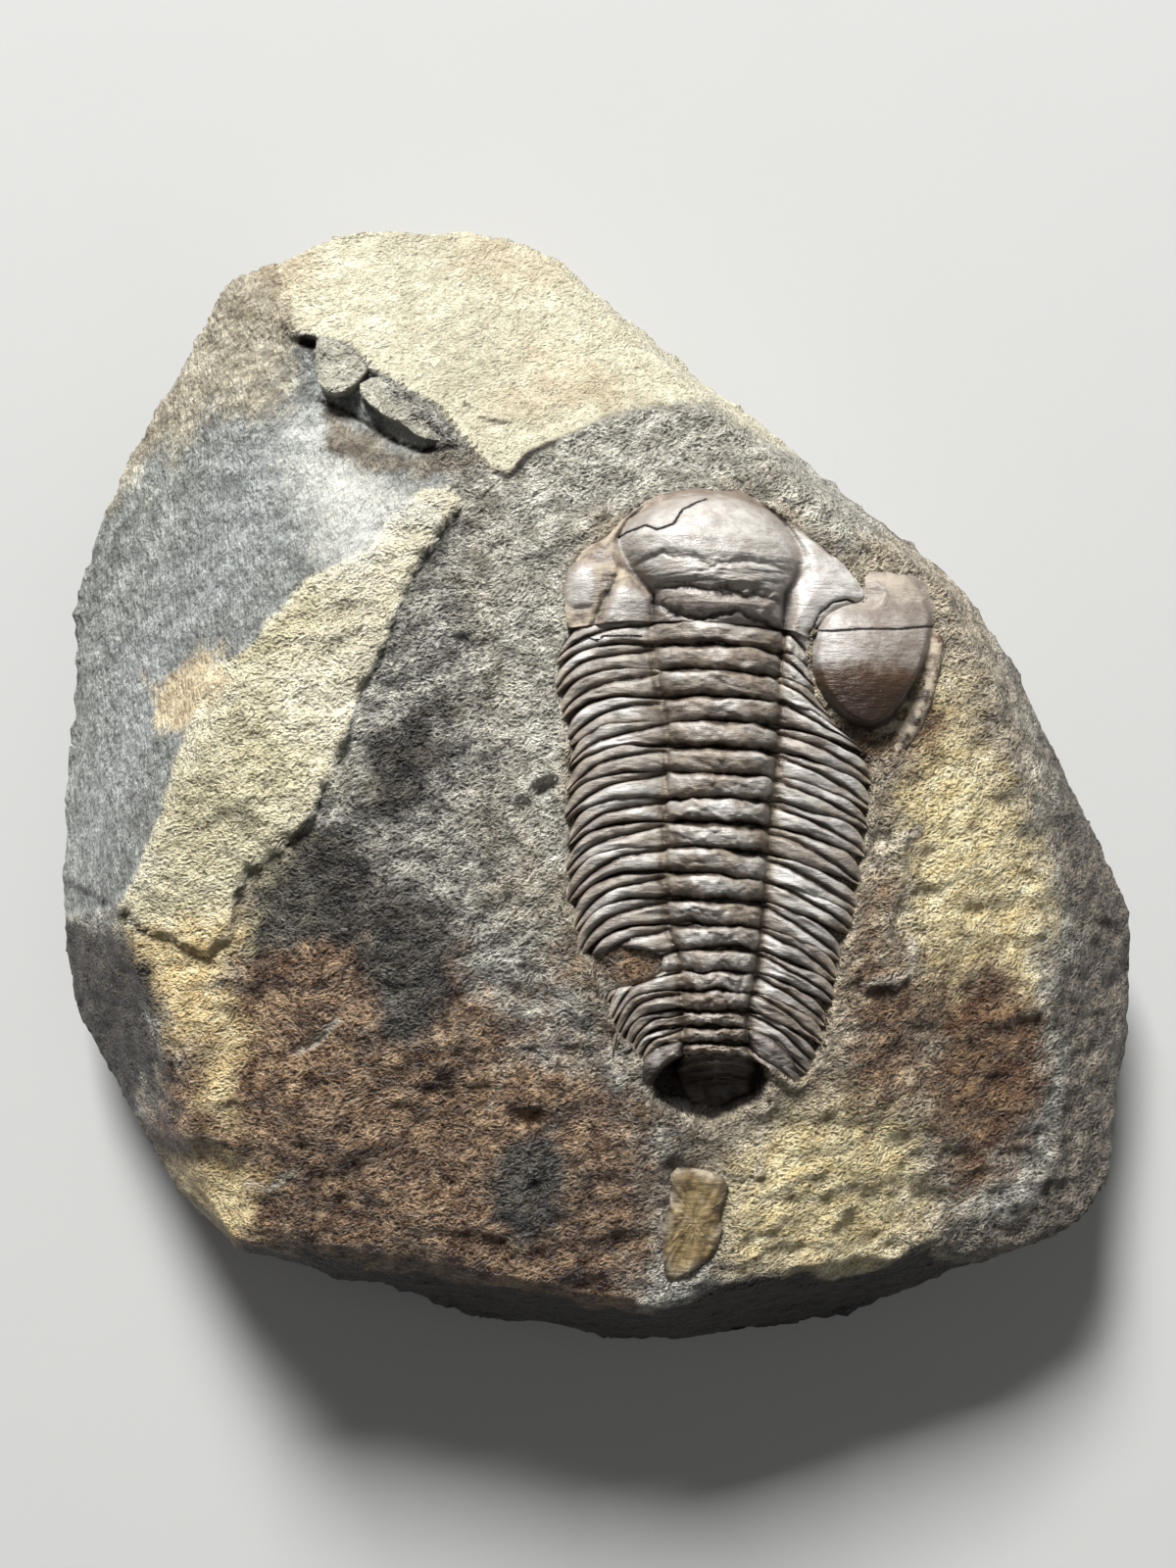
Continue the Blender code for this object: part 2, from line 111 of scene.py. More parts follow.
def ridged(points: Array, octaves: int = 3, gain: float = 0.5, seed: int = 0) -> Array:
    """Noise with sharp crests, from about -1 to 1.

    Args:
        points: places as rows of three numbers.
        octaves: how many lattices are summed.
        gain: how strong each finer lattice is beside the last.
        seed: chooses the pattern.

    Returns:
        One value for each place.
    """
    layers = (gain ** n * (1.0 - 2.0 * np.abs(lattice_noise(points * 2.1 ** n + 9.1 * n, seed + n)))
              for n in range(octaves))
    return sum(layers)


def line_distance(x: Array, y: Array, line: Outline, closed: bool = False) -> Array:
    """Distance in plan to a line through points.

    Args:
        x, y: the places.
        line: the line's corners.
        closed: whether the last corner joins the first.

    Returns:
        The distance of each place, never negative.
    """
    best = np.full(np.shape(x), 1e9)
    ends = line[1:] + line[:1] if closed else line[1:]
    for (x1, y1), (x2, y2) in zip(line, ends):
        dx, dy = x2 - x1, y2 - y1
        share = np.clip(((x - x1) * dx + (y - y1) * dy) / (dx * dx + dy * dy), 0.0, 1.0)
        best = np.minimum(best, np.hypot(x - x1 - share * dx, y - y1 - share * dy))
    return best


def outline_distance(x: Array, y: Array, outline: Outline) -> Array:
    """Distance in plan to a closed outline, positive inside it.

    Args:
        x, y: the places.
        outline: its corners.

    Returns:
        The distance of each place.
    """
    inside = np.zeros(np.shape(x), bool)
    for (x1, y1), (x2, y2) in zip(outline, outline[1:] + outline[:1]):
        if y1 != y2:
            inside ^= ((y1 > y) != (y2 > y)) & (x < x1 + (y - y1) * (x2 - x1) / (y2 - y1))
    edge = line_distance(x, y, outline, closed=True)
    return np.where(inside, edge, -edge)


def even_outline(outline: Outline, spacing: float, rounds: int = 2) -> Array:
    """An outline with its corners eased and its points evenly spaced.

    Args:
        outline: the measured corners.
        spacing: distance between the new points.
        rounds: how often each corner is cut.

    Returns:
        The new points as rows of x, y.
    """
    points = np.array(outline, float)
    for _ in range(rounds):
        following = np.roll(points, -1, axis=0)
        pair = np.stack((0.75 * points + 0.25 * following, 0.25 * points + 0.75 * following), axis=1)
        points = pair.reshape(-1, 2)
    loop = np.vstack((points, points[:1]))
    reach = np.concatenate(([0.0], np.cumsum(np.hypot(*np.diff(loop, axis=0).T))))
    stops = np.linspace(0.0, reach[-1], int(reach[-1] / spacing), endpoint=False)
    return np.column_stack((np.interp(stops, reach, loop[:, 0]), np.interp(stops, reach, loop[:, 1])))


def rounded(outline: Outline) -> Outline:
    """The same outline with its corners eased."""
    return tuple(map(tuple, even_outline(outline, 0.6)))


@dataclass(frozen=True)
class Crown:
    """The crowned front face that carries the fossils."""

    top: float = 44.5
    right_start: float = 3.0
    right_fall: float = 0.0036
    left_start: float = -20.0
    left_fall: float = 0.0040
    head_fall: float = 0.0026
    tail_fall: float = 0.0020

    def height(self, x: Array, y: Array) -> Array:
        """Height of the face above the flat back.

        Args:
            x, y: the places.

        Returns:
            One height for each place.
        """
        z = self.top - self.right_fall * np.maximum(0.0, x - self.right_start) ** 2
        z = z - self.left_fall * np.maximum(0.0, self.left_start - x) ** 2
        return z - np.where(y > 0.0, self.head_fall, self.tail_fall) * y * y


@dataclass(frozen=True)
class BodyPlan:
    """Plan and envelope of the animal: one row per station along its axis.

    A row gives y, the x of the left edge, the left and right furrows beside the axial lobe and the
    right edge, how far back the left and right rib tips lie, and the heights of lobe and ribs.
    """

    crown: Crown = Crown()
    stations: tuple[tuple[float, ...], ...] = (
        (40.9, 14.4, 15.2, 19.3, 19.9, 0.0, 0.0, 0.7, 0.4),
        (39.5, 9.0, 10.1, 22.3, 23.4, 0.0, 0.0, 2.6, 0.6),
        (38.1, 6.4, 7.5, 24.6, 25.5, 0.0, 0.0, 4.6, 0.7),
        (35.6, 3.7, 4.7, 27.2, 28.8, 0.0, 0.0, 6.4, 0.8),
        (33.2, 1.4, 3.6, 28.5, 32.1, 0.0, 0.0, 7.6, 1.4),
        (31.2, -1.8, 4.0, 29.0, 34.6, 0.0, 0.0, 7.7, 2.0),
        (28.6, -3.8, 5.6, 28.2, 37.0, 0.0, 0.0, 7.0, 2.6),
        (26.3, -4.3, 8.1, 26.9, 38.2, 0.0, 0.0, 5.4, 2.7),
        (24.3, -4.3, 8.3, 26.5, 34.4, 0.2, 0.3, 6.3, 2.7),
        (22.1, -3.8, 8.2, 26.2, 30.2, 1.4, 1.5, 5.6, 2.4),
        (19.0, -5.5, 8.3, 25.8, 29.9, 3.0, 2.2, 6.0, 2.6),
        (15.2, -5.6, 8.8, 25.3, 30.8, 4.4, 2.6, 6.0, 2.8),
        (11.5, -4.5, 9.4, 25.4, 34.5, 3.9, 4.1, 5.9, 2.9),
        (7.8, -3.8, 10.1, 25.3, 38.8, 3.8, 4.5, 5.8, 3.0),
        (-2.2, -4.3, 9.9, 24.3, 38.4, 4.3, 4.6, 5.6, 3.0),
        (-12.2, -3.9, 9.9, 23.4, 36.5, 5.2, 5.1, 5.2, 2.8),
        (-18.8, -2.0, 10.2, 23.0, 34.6, 5.4, 5.2, 4.8, 2.6),
        (-25.2, 0.9, 12.0, 22.3, 33.6, 6.2, 5.2, 4.3, 2.4),
        (-30.9, 2.9, 12.2, 21.1, 32.0, 6.4, 5.3, 3.8, 2.2),
        (-35.9, 6.0, 12.5, 21.0, 29.4, 6.3, 5.1, 3.2, 1.9),
        (-37.3, 7.1, 12.7, 21.4, 28.0, 5.4, 4.5, 2.6, 1.7))
    left_curve: float = 4.0
    right_curve: float = 1.3
    ring_tilt: float = 0.05
    segments: int = 19
    thorax_front: float = 22.1
    wide_segments: int = 12
    wide_pitch: float = 3.44
    narrow_pitches: tuple[float, float] = (3.25, 1.92)
    left_gap: Outline = path(-2.6, -27.4, -0.7, -23.4, 3.3, -21.8, 7.3, -22.3, 9.6, -23.6, 9.6, -25.6,
                             7.3, -27, 2, -28.4)

    def read(self, y: Array, column: int) -> Array:
        """One column of the stations at places along the axis."""
        rising = np.array(self.stations)[::-1]
        return np.interp(y, rising[:, 0], rising[:, column])

    def pitches(self) -> Array:
        """Length of each thorax segment, from the head back."""
        narrow = np.linspace(*self.narrow_pitches, self.segments - self.wide_segments)
        return np.concatenate((np.full(self.wide_segments, self.wide_pitch), narrow))

    def starts(self) -> Array:
        """Where each segment begins on the axis."""
        return self.thorax_front - np.concatenate(([0.0], np.cumsum(self.pitches())[:-1]))

    def drop(self, y: Array, across: Array) -> Array:
        """How far back a place lies from where its row meets the axis.

        Args:
            y: place along the axis.
            across: place across the body, as place takes it.

        Returns:
            The distance of each place.
        """
        out = np.clip(np.abs(across) - 1.0, 0.0, 1.4)
        left, right = self.read(y, 5) * out ** self.left_curve, self.read(y, 6) * out ** self.right_curve
        half = (self.read(y, 3) - self.read(y, 2)) / 2.0
        return np.where(across > 0.0, right, left) + self.ring_tilt * np.clip(across, -1.0, 1.0) * half

    def place(self, y: Array, across: Array) -> tuple[Array, Array]:
        """Plan position of a place on the body.

        Args:
            y: place along the axis.
            across: -2 and 2 are the rib tips, -1 to 1 is the axial lobe.

        Returns:
            x and y in the part's frame.
        """
        left, right = self.read(y, 2), self.read(y, 3)
        out = np.clip(np.abs(across) - 1.0, 0.0, 1.4)
        reach = np.where(across > 0.0, self.read(y, 4) - right, self.read(y, 1) - left)
        x = (left + right) / 2.0 + np.clip(across, -1.0, 1.0) * (right - left) / 2.0 + reach * out
        return x, y - self.drop(y, across)

    def find(self, x: Array, y: Array) -> tuple[Array, Array]:
        """The inverse of place, found step by step.

        Args:
            x, y: places in the part's frame.

        Returns:
            Each place's position along the axis and across the body.
        """
        along, across = y.copy(), np.zeros_like(y)
        for _ in range(8):
            left, right = self.read(along, 2), self.read(along, 3)
            across = (x - (left + right) / 2.0) / ((right - left) / 2.0)
            right_out = (x - right) / (self.read(along, 4) - right)
            left_out = (x - left) / (self.read(along, 1) - left)
            across = np.where(across > 1.0, 1.0 + right_out, np.where(across < -1.0, -1.0 - left_out, across))
            across = np.clip(across, -2.6, 2.6)
            along = y + self.drop(along, across)
        return along, across

    def envelope(self, y: Array, across: Array) -> Array:
        """Height of the shell's crests above the front face.

        Args:
            y: place along the axis.
            across: place across the body.

        Returns:
            One height for each place.
        """
        lobe, rib = self.read(y, 7), self.read(y, 8)
        furrow, side = 0.55 * rib, np.abs(across)
        ring = furrow + (lobe - furrow) * (1.0 - np.clip(side, 0.0, 1.0) ** 2.4)
        out = np.clip(side - 1.0, 0.0, 1.0)
        flank = furrow + (rib - furrow) * smoothstep(0.0, 0.3, out)
        flank = 0.3 + (flank - 0.3) * (1.0 - out ** 3.4)
        return np.where(side <= 1.0, ring, flank)

    def margin(self, x: Array, y: Array, along: Array, across: Array) -> Array:
        """Distance inside the body's outline, negative outside it.

        Args:
            x, y: the places.
            along, across: the same places as find gives them.

        Returns:
            The distance of each place.
        """
        sides = np.where(across > 0.0, self.read(along, 4) - x, x - self.read(along, 1))
        ends = np.minimum(self.stations[0][0] - along, along - self.stations[-1][0])
        return np.minimum(sides, ends)


# Meshes

def make_object(name: str, mesh: bpy.types.Mesh) -> bpy.types.Object:
    """Link a mesh into the scene as a smooth-shaded object.

    Args:
        name: the object's name.
        mesh: its shape.

    Returns:
        The new object.
    """
    mesh.shade_smooth()
    obj = bpy.data.objects.new(name, mesh)
    bpy.context.scene.collection.objects.link(obj)
    return obj


def read_points(mesh: bpy.types.Mesh, what: str = "co") -> Array:
    """Vertex places in millimetres, or normals.

    Args:
        mesh: the mesh to read.
        what: "co" for places or "normal" for normals.

    Returns:
        One row for each vertex.
    """
    values = np.empty(len(mesh.vertices) * 3, np.float32)
    mesh.vertices.foreach_get(what, values)
    return values.reshape(-1, 3).astype(float) / (MM if what == "co" else 1.0)


def write_points(mesh: bpy.types.Mesh, points: Array) -> None:
    """Move a mesh's vertices to places given in millimetres."""
    mesh.vertices.foreach_set("co", (points * MM).astype(np.float32).ravel())
    mesh.update()


def store(mesh: bpy.types.Mesh, name: str, values: Array | float) -> None:
    """Keep a number for each vertex as a named attribute, or one number for all."""
    layer = mesh.attributes.new(name, "FLOAT", "POINT")
    layer.data.foreach_set("value", np.full(len(mesh.vertices), values, np.float32))


def evaluated_mesh(obj: bpy.types.Object) -> bpy.types.Mesh:
    """An object's mesh with every modifier applied."""
    graph = bpy.context.evaluated_depsgraph_get()
    return bpy.data.meshes.new_from_object(obj.evaluated_get(graph))


def finish_piece(name: str, mesh: bpy.types.Mesh, nodes: tuple[str, ...] = (),
                 look: bpy.types.Material | None = None) -> None:
    """Make a piece of a finished mesh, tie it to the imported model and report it.

    Args:
        name: the piece's name.
        mesh: its shape, with the numbers that its material reads.
        nodes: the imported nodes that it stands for.
        look: its material, unless the mesh has it already.
    """
    obj = make_object(name, mesh)
    if look:
        mesh.materials.append(look)
    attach(obj, BODY)
    if nodes:
        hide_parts(*nodes)
    mesh.calc_loop_triangles()
    LOG.info("%s: %d triangles", name, len(mesh.loop_triangles))


@dataclass
class DomedPlate:
    """A closed plate: rings that shrink from an outline to its middle, with a skirt and a floor."""

    name: str
    outline: Array
    middle: tuple[float, float]
    rings: int
    height: Callable[[Array, Array], Array]
    skirt: float = 1.5

    def build(self) -> bpy.types.Mesh:
        """Make the plate's mesh; its height function gives z at x, y.

        Returns:
            The closed mesh.
        """
        shares = 1.0 - np.linspace(0.0, 1.0, self.rings + 1)[:-1] ** 0.9
        count = len(self.outline)
        arm = self.outline - np.array(self.middle)
        plan = np.concatenate([np.array(self.middle) + arm * share for share in shares] + [[self.middle]])
        top = np.column_stack((plan, self.height(plan[:, 0], plan[:, 1])))
        floor = top[:count].copy()
        floor[:, 2] -= self.skirt
        below = np.append(np.array(self.middle), floor[:, 2].min())
        points = np.vstack((floor, top, below))
        index = np.arange(count)
        after = (index + 1) % count
        faces = []
        for ring in range(self.rings):
            low, high = ring * count, (ring + 1) * count
            faces += np.column_stack((low + index, low + after, high + after, high + index)).tolist()
        apex, foot = len(points) - 2, len(points) - 1
        last = self.rings * count
        faces += np.column_stack((last + index, last + after, np.full(count, apex))).tolist()
        faces += np.column_stack((after, index, np.full(count, foot))).tolist()
        mesh = bpy.data.meshes.new(self.name)
        mesh.from_pydata((points * MM).tolist(), [], faces)
        bm = bmesh.new()
        bm.from_mesh(mesh)
        bmesh.ops.recalc_face_normals(bm, faces=bm.faces)
        bm.to_mesh(mesh)
        bm.free()
        return mesh


# Node trees

def paint(color: Color) -> tuple[float, float, float, float]:
    """A colour as a socket wants it."""
    return (*color, 1.0)


class NodeBoard:
    """Lays nodes out in one tree and joins them."""

    def __init__(self, tree: bpy.types.NodeTree) -> None:
        """Work on this tree."""
        self.tree = tree
        self.count = 0

    def add(self, kind: str, inputs: dict | None = None, **settings: object) -> bpy.types.Node:
        """Add one node.

        Args:
            kind: the node's type name.
            inputs: values or sockets for its inputs, by name or number.
            settings: the node's own properties.

        Returns:
            The new node.
        """
        node = self.tree.nodes.new(kind)
        node.location = (self.count % 14 * 190, -(self.count // 14) * 300)
        self.count += 1
        for name, value in settings.items():
            setattr(node, name, value)
        for name, value in (inputs or {}).items():
            self.feed(node.inputs[name], value)
        return node

    def feed(self, socket: bpy.types.NodeSocket, value: object) -> None:
        """Link a socket, or set its value."""
        if isinstance(value, bpy.types.NodeSocket):
            self.tree.links.new(value, socket)
        else:
            socket.default_value = value

    def math(self, operation: str, *values: object, clamp: bool = False) -> bpy.types.NodeSocket:
        """One step of arithmetic on numbers."""
        node = self.add("ShaderNodeMath", dict(enumerate(values)), operation=operation, use_clamp=clamp)
        return node.outputs[0]

    def vector(self, operation: str, *values: object, result: int = 0) -> bpy.types.NodeSocket:
        """One step of arithmetic on vectors; result 1 is the output that is a number."""
        node = self.add("ShaderNodeVectorMath", dict(enumerate(values)), operation=operation)
        return node.outputs[result]

    def step(self, value: object, low: float, high: float) -> bpy.types.NodeSocket:
        """A soft step from 0 at low to 1 at high."""
        values = {"Value": value, "From Min": low, "From Max": high}
        return self.add("ShaderNodeMapRange", values, interpolation_type="SMOOTHSTEP").outputs[0]

    def blend(self, share: object, low: object, high: object, how: str = "MIX") -> bpy.types.NodeSocket:
        """Mix two colours."""
        node = self.add("ShaderNodeMix", {0: share, 6: low, 7: high}, data_type="RGBA", blend_type=how)
        return node.outputs[2]

    def lerp(self, share: object, low: object, high: object) -> bpy.types.NodeSocket:
        """Mix two numbers."""
        return self.add("ShaderNodeMix", {0: share, 2: low, 3: high}).outputs[0]

    def noise(self, place: object, scale: float, detail: float = 4.0, roughness: float = 0.5,
              stretch: Color = (1.0, 1.0, 1.0), distortion: float = 0.0) -> bpy.types.NodeSocket:
        """Noise from 0 to 1 at places in millimetres, stretched along the axes.

        Args:
            place: the places.
            scale: its cells in a millimetre.
            detail: how many finer layers are added.
            roughness: how strong those layers are.
            stretch: factors on the places.
            distortion: how far it is bent out of shape.

        Returns:
            The noise.
        """
        if stretch != (1.0, 1.0, 1.0):
            place = self.vector("MULTIPLY", place, stretch)
        values = {"Vector": place, "Scale": scale, "Detail": detail, "Roughness": roughness,
                  "Distortion": distortion}
        return self.add("ShaderNodeTexNoise", values).outputs["Fac"]

    def millimetres(self) -> bpy.types.NodeSocket:
        """Object coordinates in millimetres."""
        place = self.add("ShaderNodeTexCoord").outputs["Object"]
        return self.add("ShaderNodeVectorMath", {0: place, "Scale": 1.0 / MM}, operation="SCALE").outputs[0]

    def attribute(self, name: str) -> bpy.types.NodeSocket:
        """One number kept on the mesh."""
        return self.add("ShaderNodeAttribute", attribute_name=name).outputs["Fac"]

    def curve(self, value: object, points: Outline) -> bpy.types.NodeSocket:
        """A value read through a drawn profile from 0 to 1.

        Args:
            value: the value to read.
            points: the profile's points.

        Returns:
            The profile's height at the value.
        """
        node = self.add("ShaderNodeFloatCurve", {"Value": value})
        line = node.mapping.curves[0]
        line.points[0].location, line.points[-1].location = points[0], points[-1]
        for point in points[1:-1]:
            line.points.new(*point)
        node.mapping.update()
        return node.outputs[0]


def facets(board: NodeBoard, place: object, scale: float) -> bpy.types.NodeSocket:
    """Height of a surface broken into small tilted faces.

    Args:
        board: the tree being laid out.
        place: places in millimetres.
        scale: faces in a millimetre.

    Returns:
        A height in millimetres, about a quarter of a face's width.
    """
    cell = board.add("ShaderNodeTexVoronoi", {"Vector": place, "Scale": scale})
    away = board.vector("SUBTRACT", place, cell.outputs["Position"])
    lean = board.vector("SUBTRACT", cell.outputs["Color"], (0.5, 0.5, 0.5))
    return board.vector("DOT_PRODUCT", away, lean, result=1)


def new_group(name: str, outputs: tuple[str, ...]) -> tuple[NodeBoard, bpy.types.NodeSocket, bpy.types.Node]:
    """Start a shader group that works at a place.

    Args:
        name: the group's name.
        outputs: the numbers that it puts out.

    Returns:
        Its board, the place that it is given and its output node.
    """
    tree = bpy.data.node_groups.new(name, "ShaderNodeTree")
    tree.interface.new_socket(name="Place", in_out="INPUT", socket_type="NodeSocketVector")
    for output in outputs:
        tree.interface.new_socket(name=output, in_out="OUTPUT", socket_type="NodeSocketFloat")
    board = NodeBoard(tree)
    source, out = board.add("NodeGroupInput"), board.add("NodeGroupOutput")
    return board, source.outputs["Place"], out


def grain_group() -> bpy.types.NodeTree:
    """The broken mudstone's grain: its height, streaks for smooth faces, the changes of its colour, and masks
    for painted shade in its hollows and for painted glints.

    Returns:
        The group's tree.
    """
    names = ("Height", "Streaks", "HollowShade", "Wander", "Mottle", "Broad", "PaintedGlint", "Veins")
    board, place, out = new_group("mudstone_grain", names)
    turned = board.add("ShaderNodeVectorRotate", {"Vector": place, "Angle": -0.4}, rotation_type="Z_AXIS")
    flake = board.vector("MULTIPLY", turned.outputs[0], (1.5, 1.8, 1.6))
    ridge = board.add("ShaderNodeTexNoise", {"Vector": flake, "Scale": 0.85, "Detail": 4.0, "Lacunarity": 2.2,
                                             "Offset": 1.0, "Gain": 1.5}, noise_type="RIDGED_MULTIFRACTAL")
    height = board.math("MULTIPLY_ADD", facets(board, flake, 1.7), 1.25, board.math(
        "MULTIPLY", ridge.outputs["Fac"], 0.45))
    height = board.math("MULTIPLY_ADD", board.noise(flake, 0.22, 5.0, 0.64), 4.6, height)
    board.feed(out.inputs["Height"], height)
    board.feed(out.inputs["Streaks"], board.math("MULTIPLY", board.noise(
        place, 0.9, 5.0, 0.62, stretch=(1.6, 0.55, 0.8)), 4.2))
    # HollowShade: mask of the hollows between the grain's ridges, where painted shade goes
    board.feed(out.inputs["HollowShade"], board.step(ridge.outputs["Fac"], 1.0, 0.55))
    wander = board.noise(place, 0.12, 9.0, 0.74)
    board.feed(out.inputs["Wander"], board.math("MULTIPLY", board.math("SUBTRACT", wander, 0.5), 4.0))
    mottle = board.step(board.noise(flake, 0.2, 9.0, 0.78), 0.30, 0.70)
    board.feed(out.inputs["Mottle"], board.math("POWER", mottle, 1.5))
    board.feed(out.inputs["Broad"], board.step(board.noise(place, 0.06, 5.0, 0.6), 0.36, 0.64))
    # painted glint: small pale specks that stand in for glints of light off the grain
    painted_glint = board.noise(place, 2.2, 3.0, 0.7)
    board.feed(out.inputs["PaintedGlint"], board.step(painted_glint, 0.57, 0.66))
    vein = board.math("ABSOLUTE", board.math("SUBTRACT", board.noise(place, 0.7, 4.0, 0.6), 0.5))
    board.feed(out.inputs["Veins"], board.step(vein, 0.022, 0.004))
    return board.tree


def shell_group() -> bpy.types.NodeTree:
    """The shell's skin: fine cross wrinkles, pits and patches where its silvery coat and painted sheen are
    stronger.

    Returns:
        The group's tree.
    """
    board, place, out = new_group("shell_skin", ("Height", "Patch", "Pits"))
    wrinkles = board.noise(place, 1.0, 5.0, 0.6, stretch=(0.45, 2.4, 1.0), distortion=0.4)
    pits = board.noise(place, 4.5, 3.0, 0.6)
    height = board.math("ADD", board.math("MULTIPLY", wrinkles, 0.8), board.math("MULTIPLY", pits, 0.3))
    board.feed(out.inputs["Height"], height)
    board.feed(out.inputs["Patch"], board.step(board.noise(place, 0.4, 6.0, 0.6), 0.38, 0.64))
    board.feed(out.inputs["Pits"], board.step(pits, 0.6, 0.7))
    return board.tree


def new_material(name: str) -> tuple[bpy.types.Material, NodeBoard, bpy.types.Node]:
    """A material with its tree's board and its shader.

    Args:
        name: the material's name.

    Returns:
        The material, its board and its Principled shader.
    """
    made = bpy.data.materials.new(name)
    made.use_nodes = True
    return made, NodeBoard(made.node_tree), made.node_tree.nodes["Principled BSDF"]


@dataclass(frozen=True)
class Tone:
    """One colour of the rock: where it lies, its two shades, its border and how rough it is."""

    mask: str
    dark: Color
    light: Color
    wander: float = 2.0
    soft: float = 1.0
    grain: float = 1.0
    share: float = 1.0


@dataclass(frozen=True)
class MudstoneFinish:
    """The rock's finish, painted tone over tone by distances kept on the mesh; the flank and shade tones, and
    part of the ledge tone, are painted shade.
    """

    grain: bpy.types.NodeTree
    ground: Tone = Tone("", (0.10, 0.095, 0.08), (0.90, 0.87, 0.76), grain=1.35)
    tones: tuple[Tone, ...] = (
        Tone("beige", (0.19, 0.157, 0.105), (0.95, 0.83, 0.62), 6.0, 7.0, 1.25),
        Tone("dust", (0.29, 0.272, 0.222), (1.0, 0.97, 0.84), 4.0, 3.5, 1.15),
        Tone("green", (0.76, 0.60, 0.29), (1.0, 0.92, 0.60), 4.0, 4.5, 0.9),
        Tone("brown", (0.052, 0.015, 0.003), (0.72, 0.50, 0.30), 8.0, 6.0, 1.6),
        Tone("dark", (0.009, 0.008, 0.006), (0.24, 0.215, 0.18), 4.0, 2.5, 1.7),
        Tone("rust", (0.066, 0.019, 0.004), (0.48, 0.31, 0.16), 6.0, 4.5, 1.5),
        Tone("side", (0.045, 0.035, 0.025), (0.50, 0.43, 0.335), 4.0, 2.5, 1.5),
        Tone("facet", (0.014, 0.010, 0.008), (0.19, 0.155, 0.12), 3.0, 1.5, 1.6),
        Tone("layer", (0.64, 0.60, 0.43), (0.97, 0.91, 0.70), 0.5, 0.3, 0.65),
        Tone("olive", (0.50, 0.45, 0.26), (0.93, 0.86, 0.57), 7.0, 6.0, 0.9, 0.75),
        Tone("ochre", (0.78, 0.55, 0.25), (1.0, 0.90, 0.54), 4.0, 3.5, 0.9),
        Tone("slope", (0.16, 0.167, 0.157), (0.56, 0.585, 0.547), 1.6, 0.5, 0.85),
        Tone("blue", (0.22, 0.236, 0.231), (0.62, 0.645, 0.633), 7.0, 6.0, 0.8),
        Tone("pale", (0.60, 0.61, 0.56), (0.97, 0.98, 0.90), 7.0, 6.0, 0.55),
        Tone("orange", (0.50, 0.385, 0.23), (0.86, 0.75, 0.51), 3.5, 1.6, 0.6),
        Tone("corner", (0.27, 0.235, 0.165), (1.0, 0.93, 0.72), 6.0, 4.0, 0.8),
        # partly painted shade: the brown-grey band under the ledge stands in for its shadow as well as a
        # streaked lamination
        Tone("ledge", (0.14, 0.12, 0.09), (0.55, 0.49, 0.39), 2.0, 1.2, 0.8),
        Tone("bed", (0.49, 0.465, 0.335), (0.78, 0.755, 0.565), 2.0, 1.0, 0.5),
        Tone("warm", (0.50, 0.40, 0.255), (0.74, 0.63, 0.44), 7.0, 5.0, 0.5, 0.6),
        Tone("chip", (0.25, 0.24, 0.19), (0.72, 0.69, 0.565), 1.0, 0.6, 0.7),
        Tone("scratch", (0.42, 0.37, 0.29), (0.84, 0.77, 0.64), 1.0, 0.5, 0.9, 0.8),
        # painted shade: the lower flank is painted near-black, as it lies in the block's shadow
        Tone("flank", (0.008, 0.005, 0.004), (0.055, 0.038, 0.028), 2.0, 1.0, 1.2),
        Tone("shade", (0.012, 0.009, 0.007), (0.045, 0.032, 0.023), 0.4, 0.35, 0.8),
    )
    veins: Color = (0.34, 0.22, 0.16)
    vein_share: float = 0.45
    stain: Color = (0.32, 0.28, 0.24)
    stain_share: float = 0.32
    # painted shade: dark colour laid into the grain's hollows
    hollow: Color = (0.02, 0.016, 0.012)
    hollow_shade_share: float = 0.42
    # painted glint: factor that lightens small specks as if they caught the light
    painted_glint: Color = (2.4, 2.35, 2.2)
    painted_glint_share: float = 0.38
    shine: tuple[float, float] = (0.36, 0.5)

    def material(self, name: str) -> bpy.types.Material:
        """Build the material.

        Args:
            name: the material's name.

        Returns:
            A rough stone with its colours, hollows and grain.
        """
        made, board, shader = new_material(name)
        place = board.millimetres()
        grain = board.add("ShaderNodeGroup", node_tree=self.grain)
        board.feed(grain.inputs["Place"], place)
        mottle = grain.outputs["Mottle"]
        color = board.blend(mottle, paint(self.ground.dark), paint(self.ground.light))
        rough = board.attribute("rough")
        for tone in self.tones:
            border = board.math("MULTIPLY", grain.outputs["Wander"], tone.wander)
            edge = board.math("ADD", board.attribute(tone.mask), border)
            share = board.step(edge, -tone.soft, tone.soft)
            if tone.share < 1.0:
                share = board.math("MULTIPLY", share, tone.share)
            shade = board.blend(mottle, paint(tone.dark), paint(tone.light))
            if tone.mask == "bed":
                veined = board.math("MULTIPLY", grain.outputs["Veins"], self.vein_share)
                shade = board.blend(veined, shade, paint(self.veins))
            color = board.blend(share, color, shade)
        dim = board.math("MULTIPLY", grain.outputs["Broad"], self.stain_share)
        color = board.blend(dim, color, paint(self.stain), "MULTIPLY")
        # painted shade in the grain's hollows, stronger where the stone is rougher
        deep = board.math("MULTIPLY", rough, self.hollow_shade_share)
        hollow = board.math("MULTIPLY", grain.outputs["HollowShade"], deep, clamp=True)
        color = board.blend(hollow, color, paint(self.hollow))
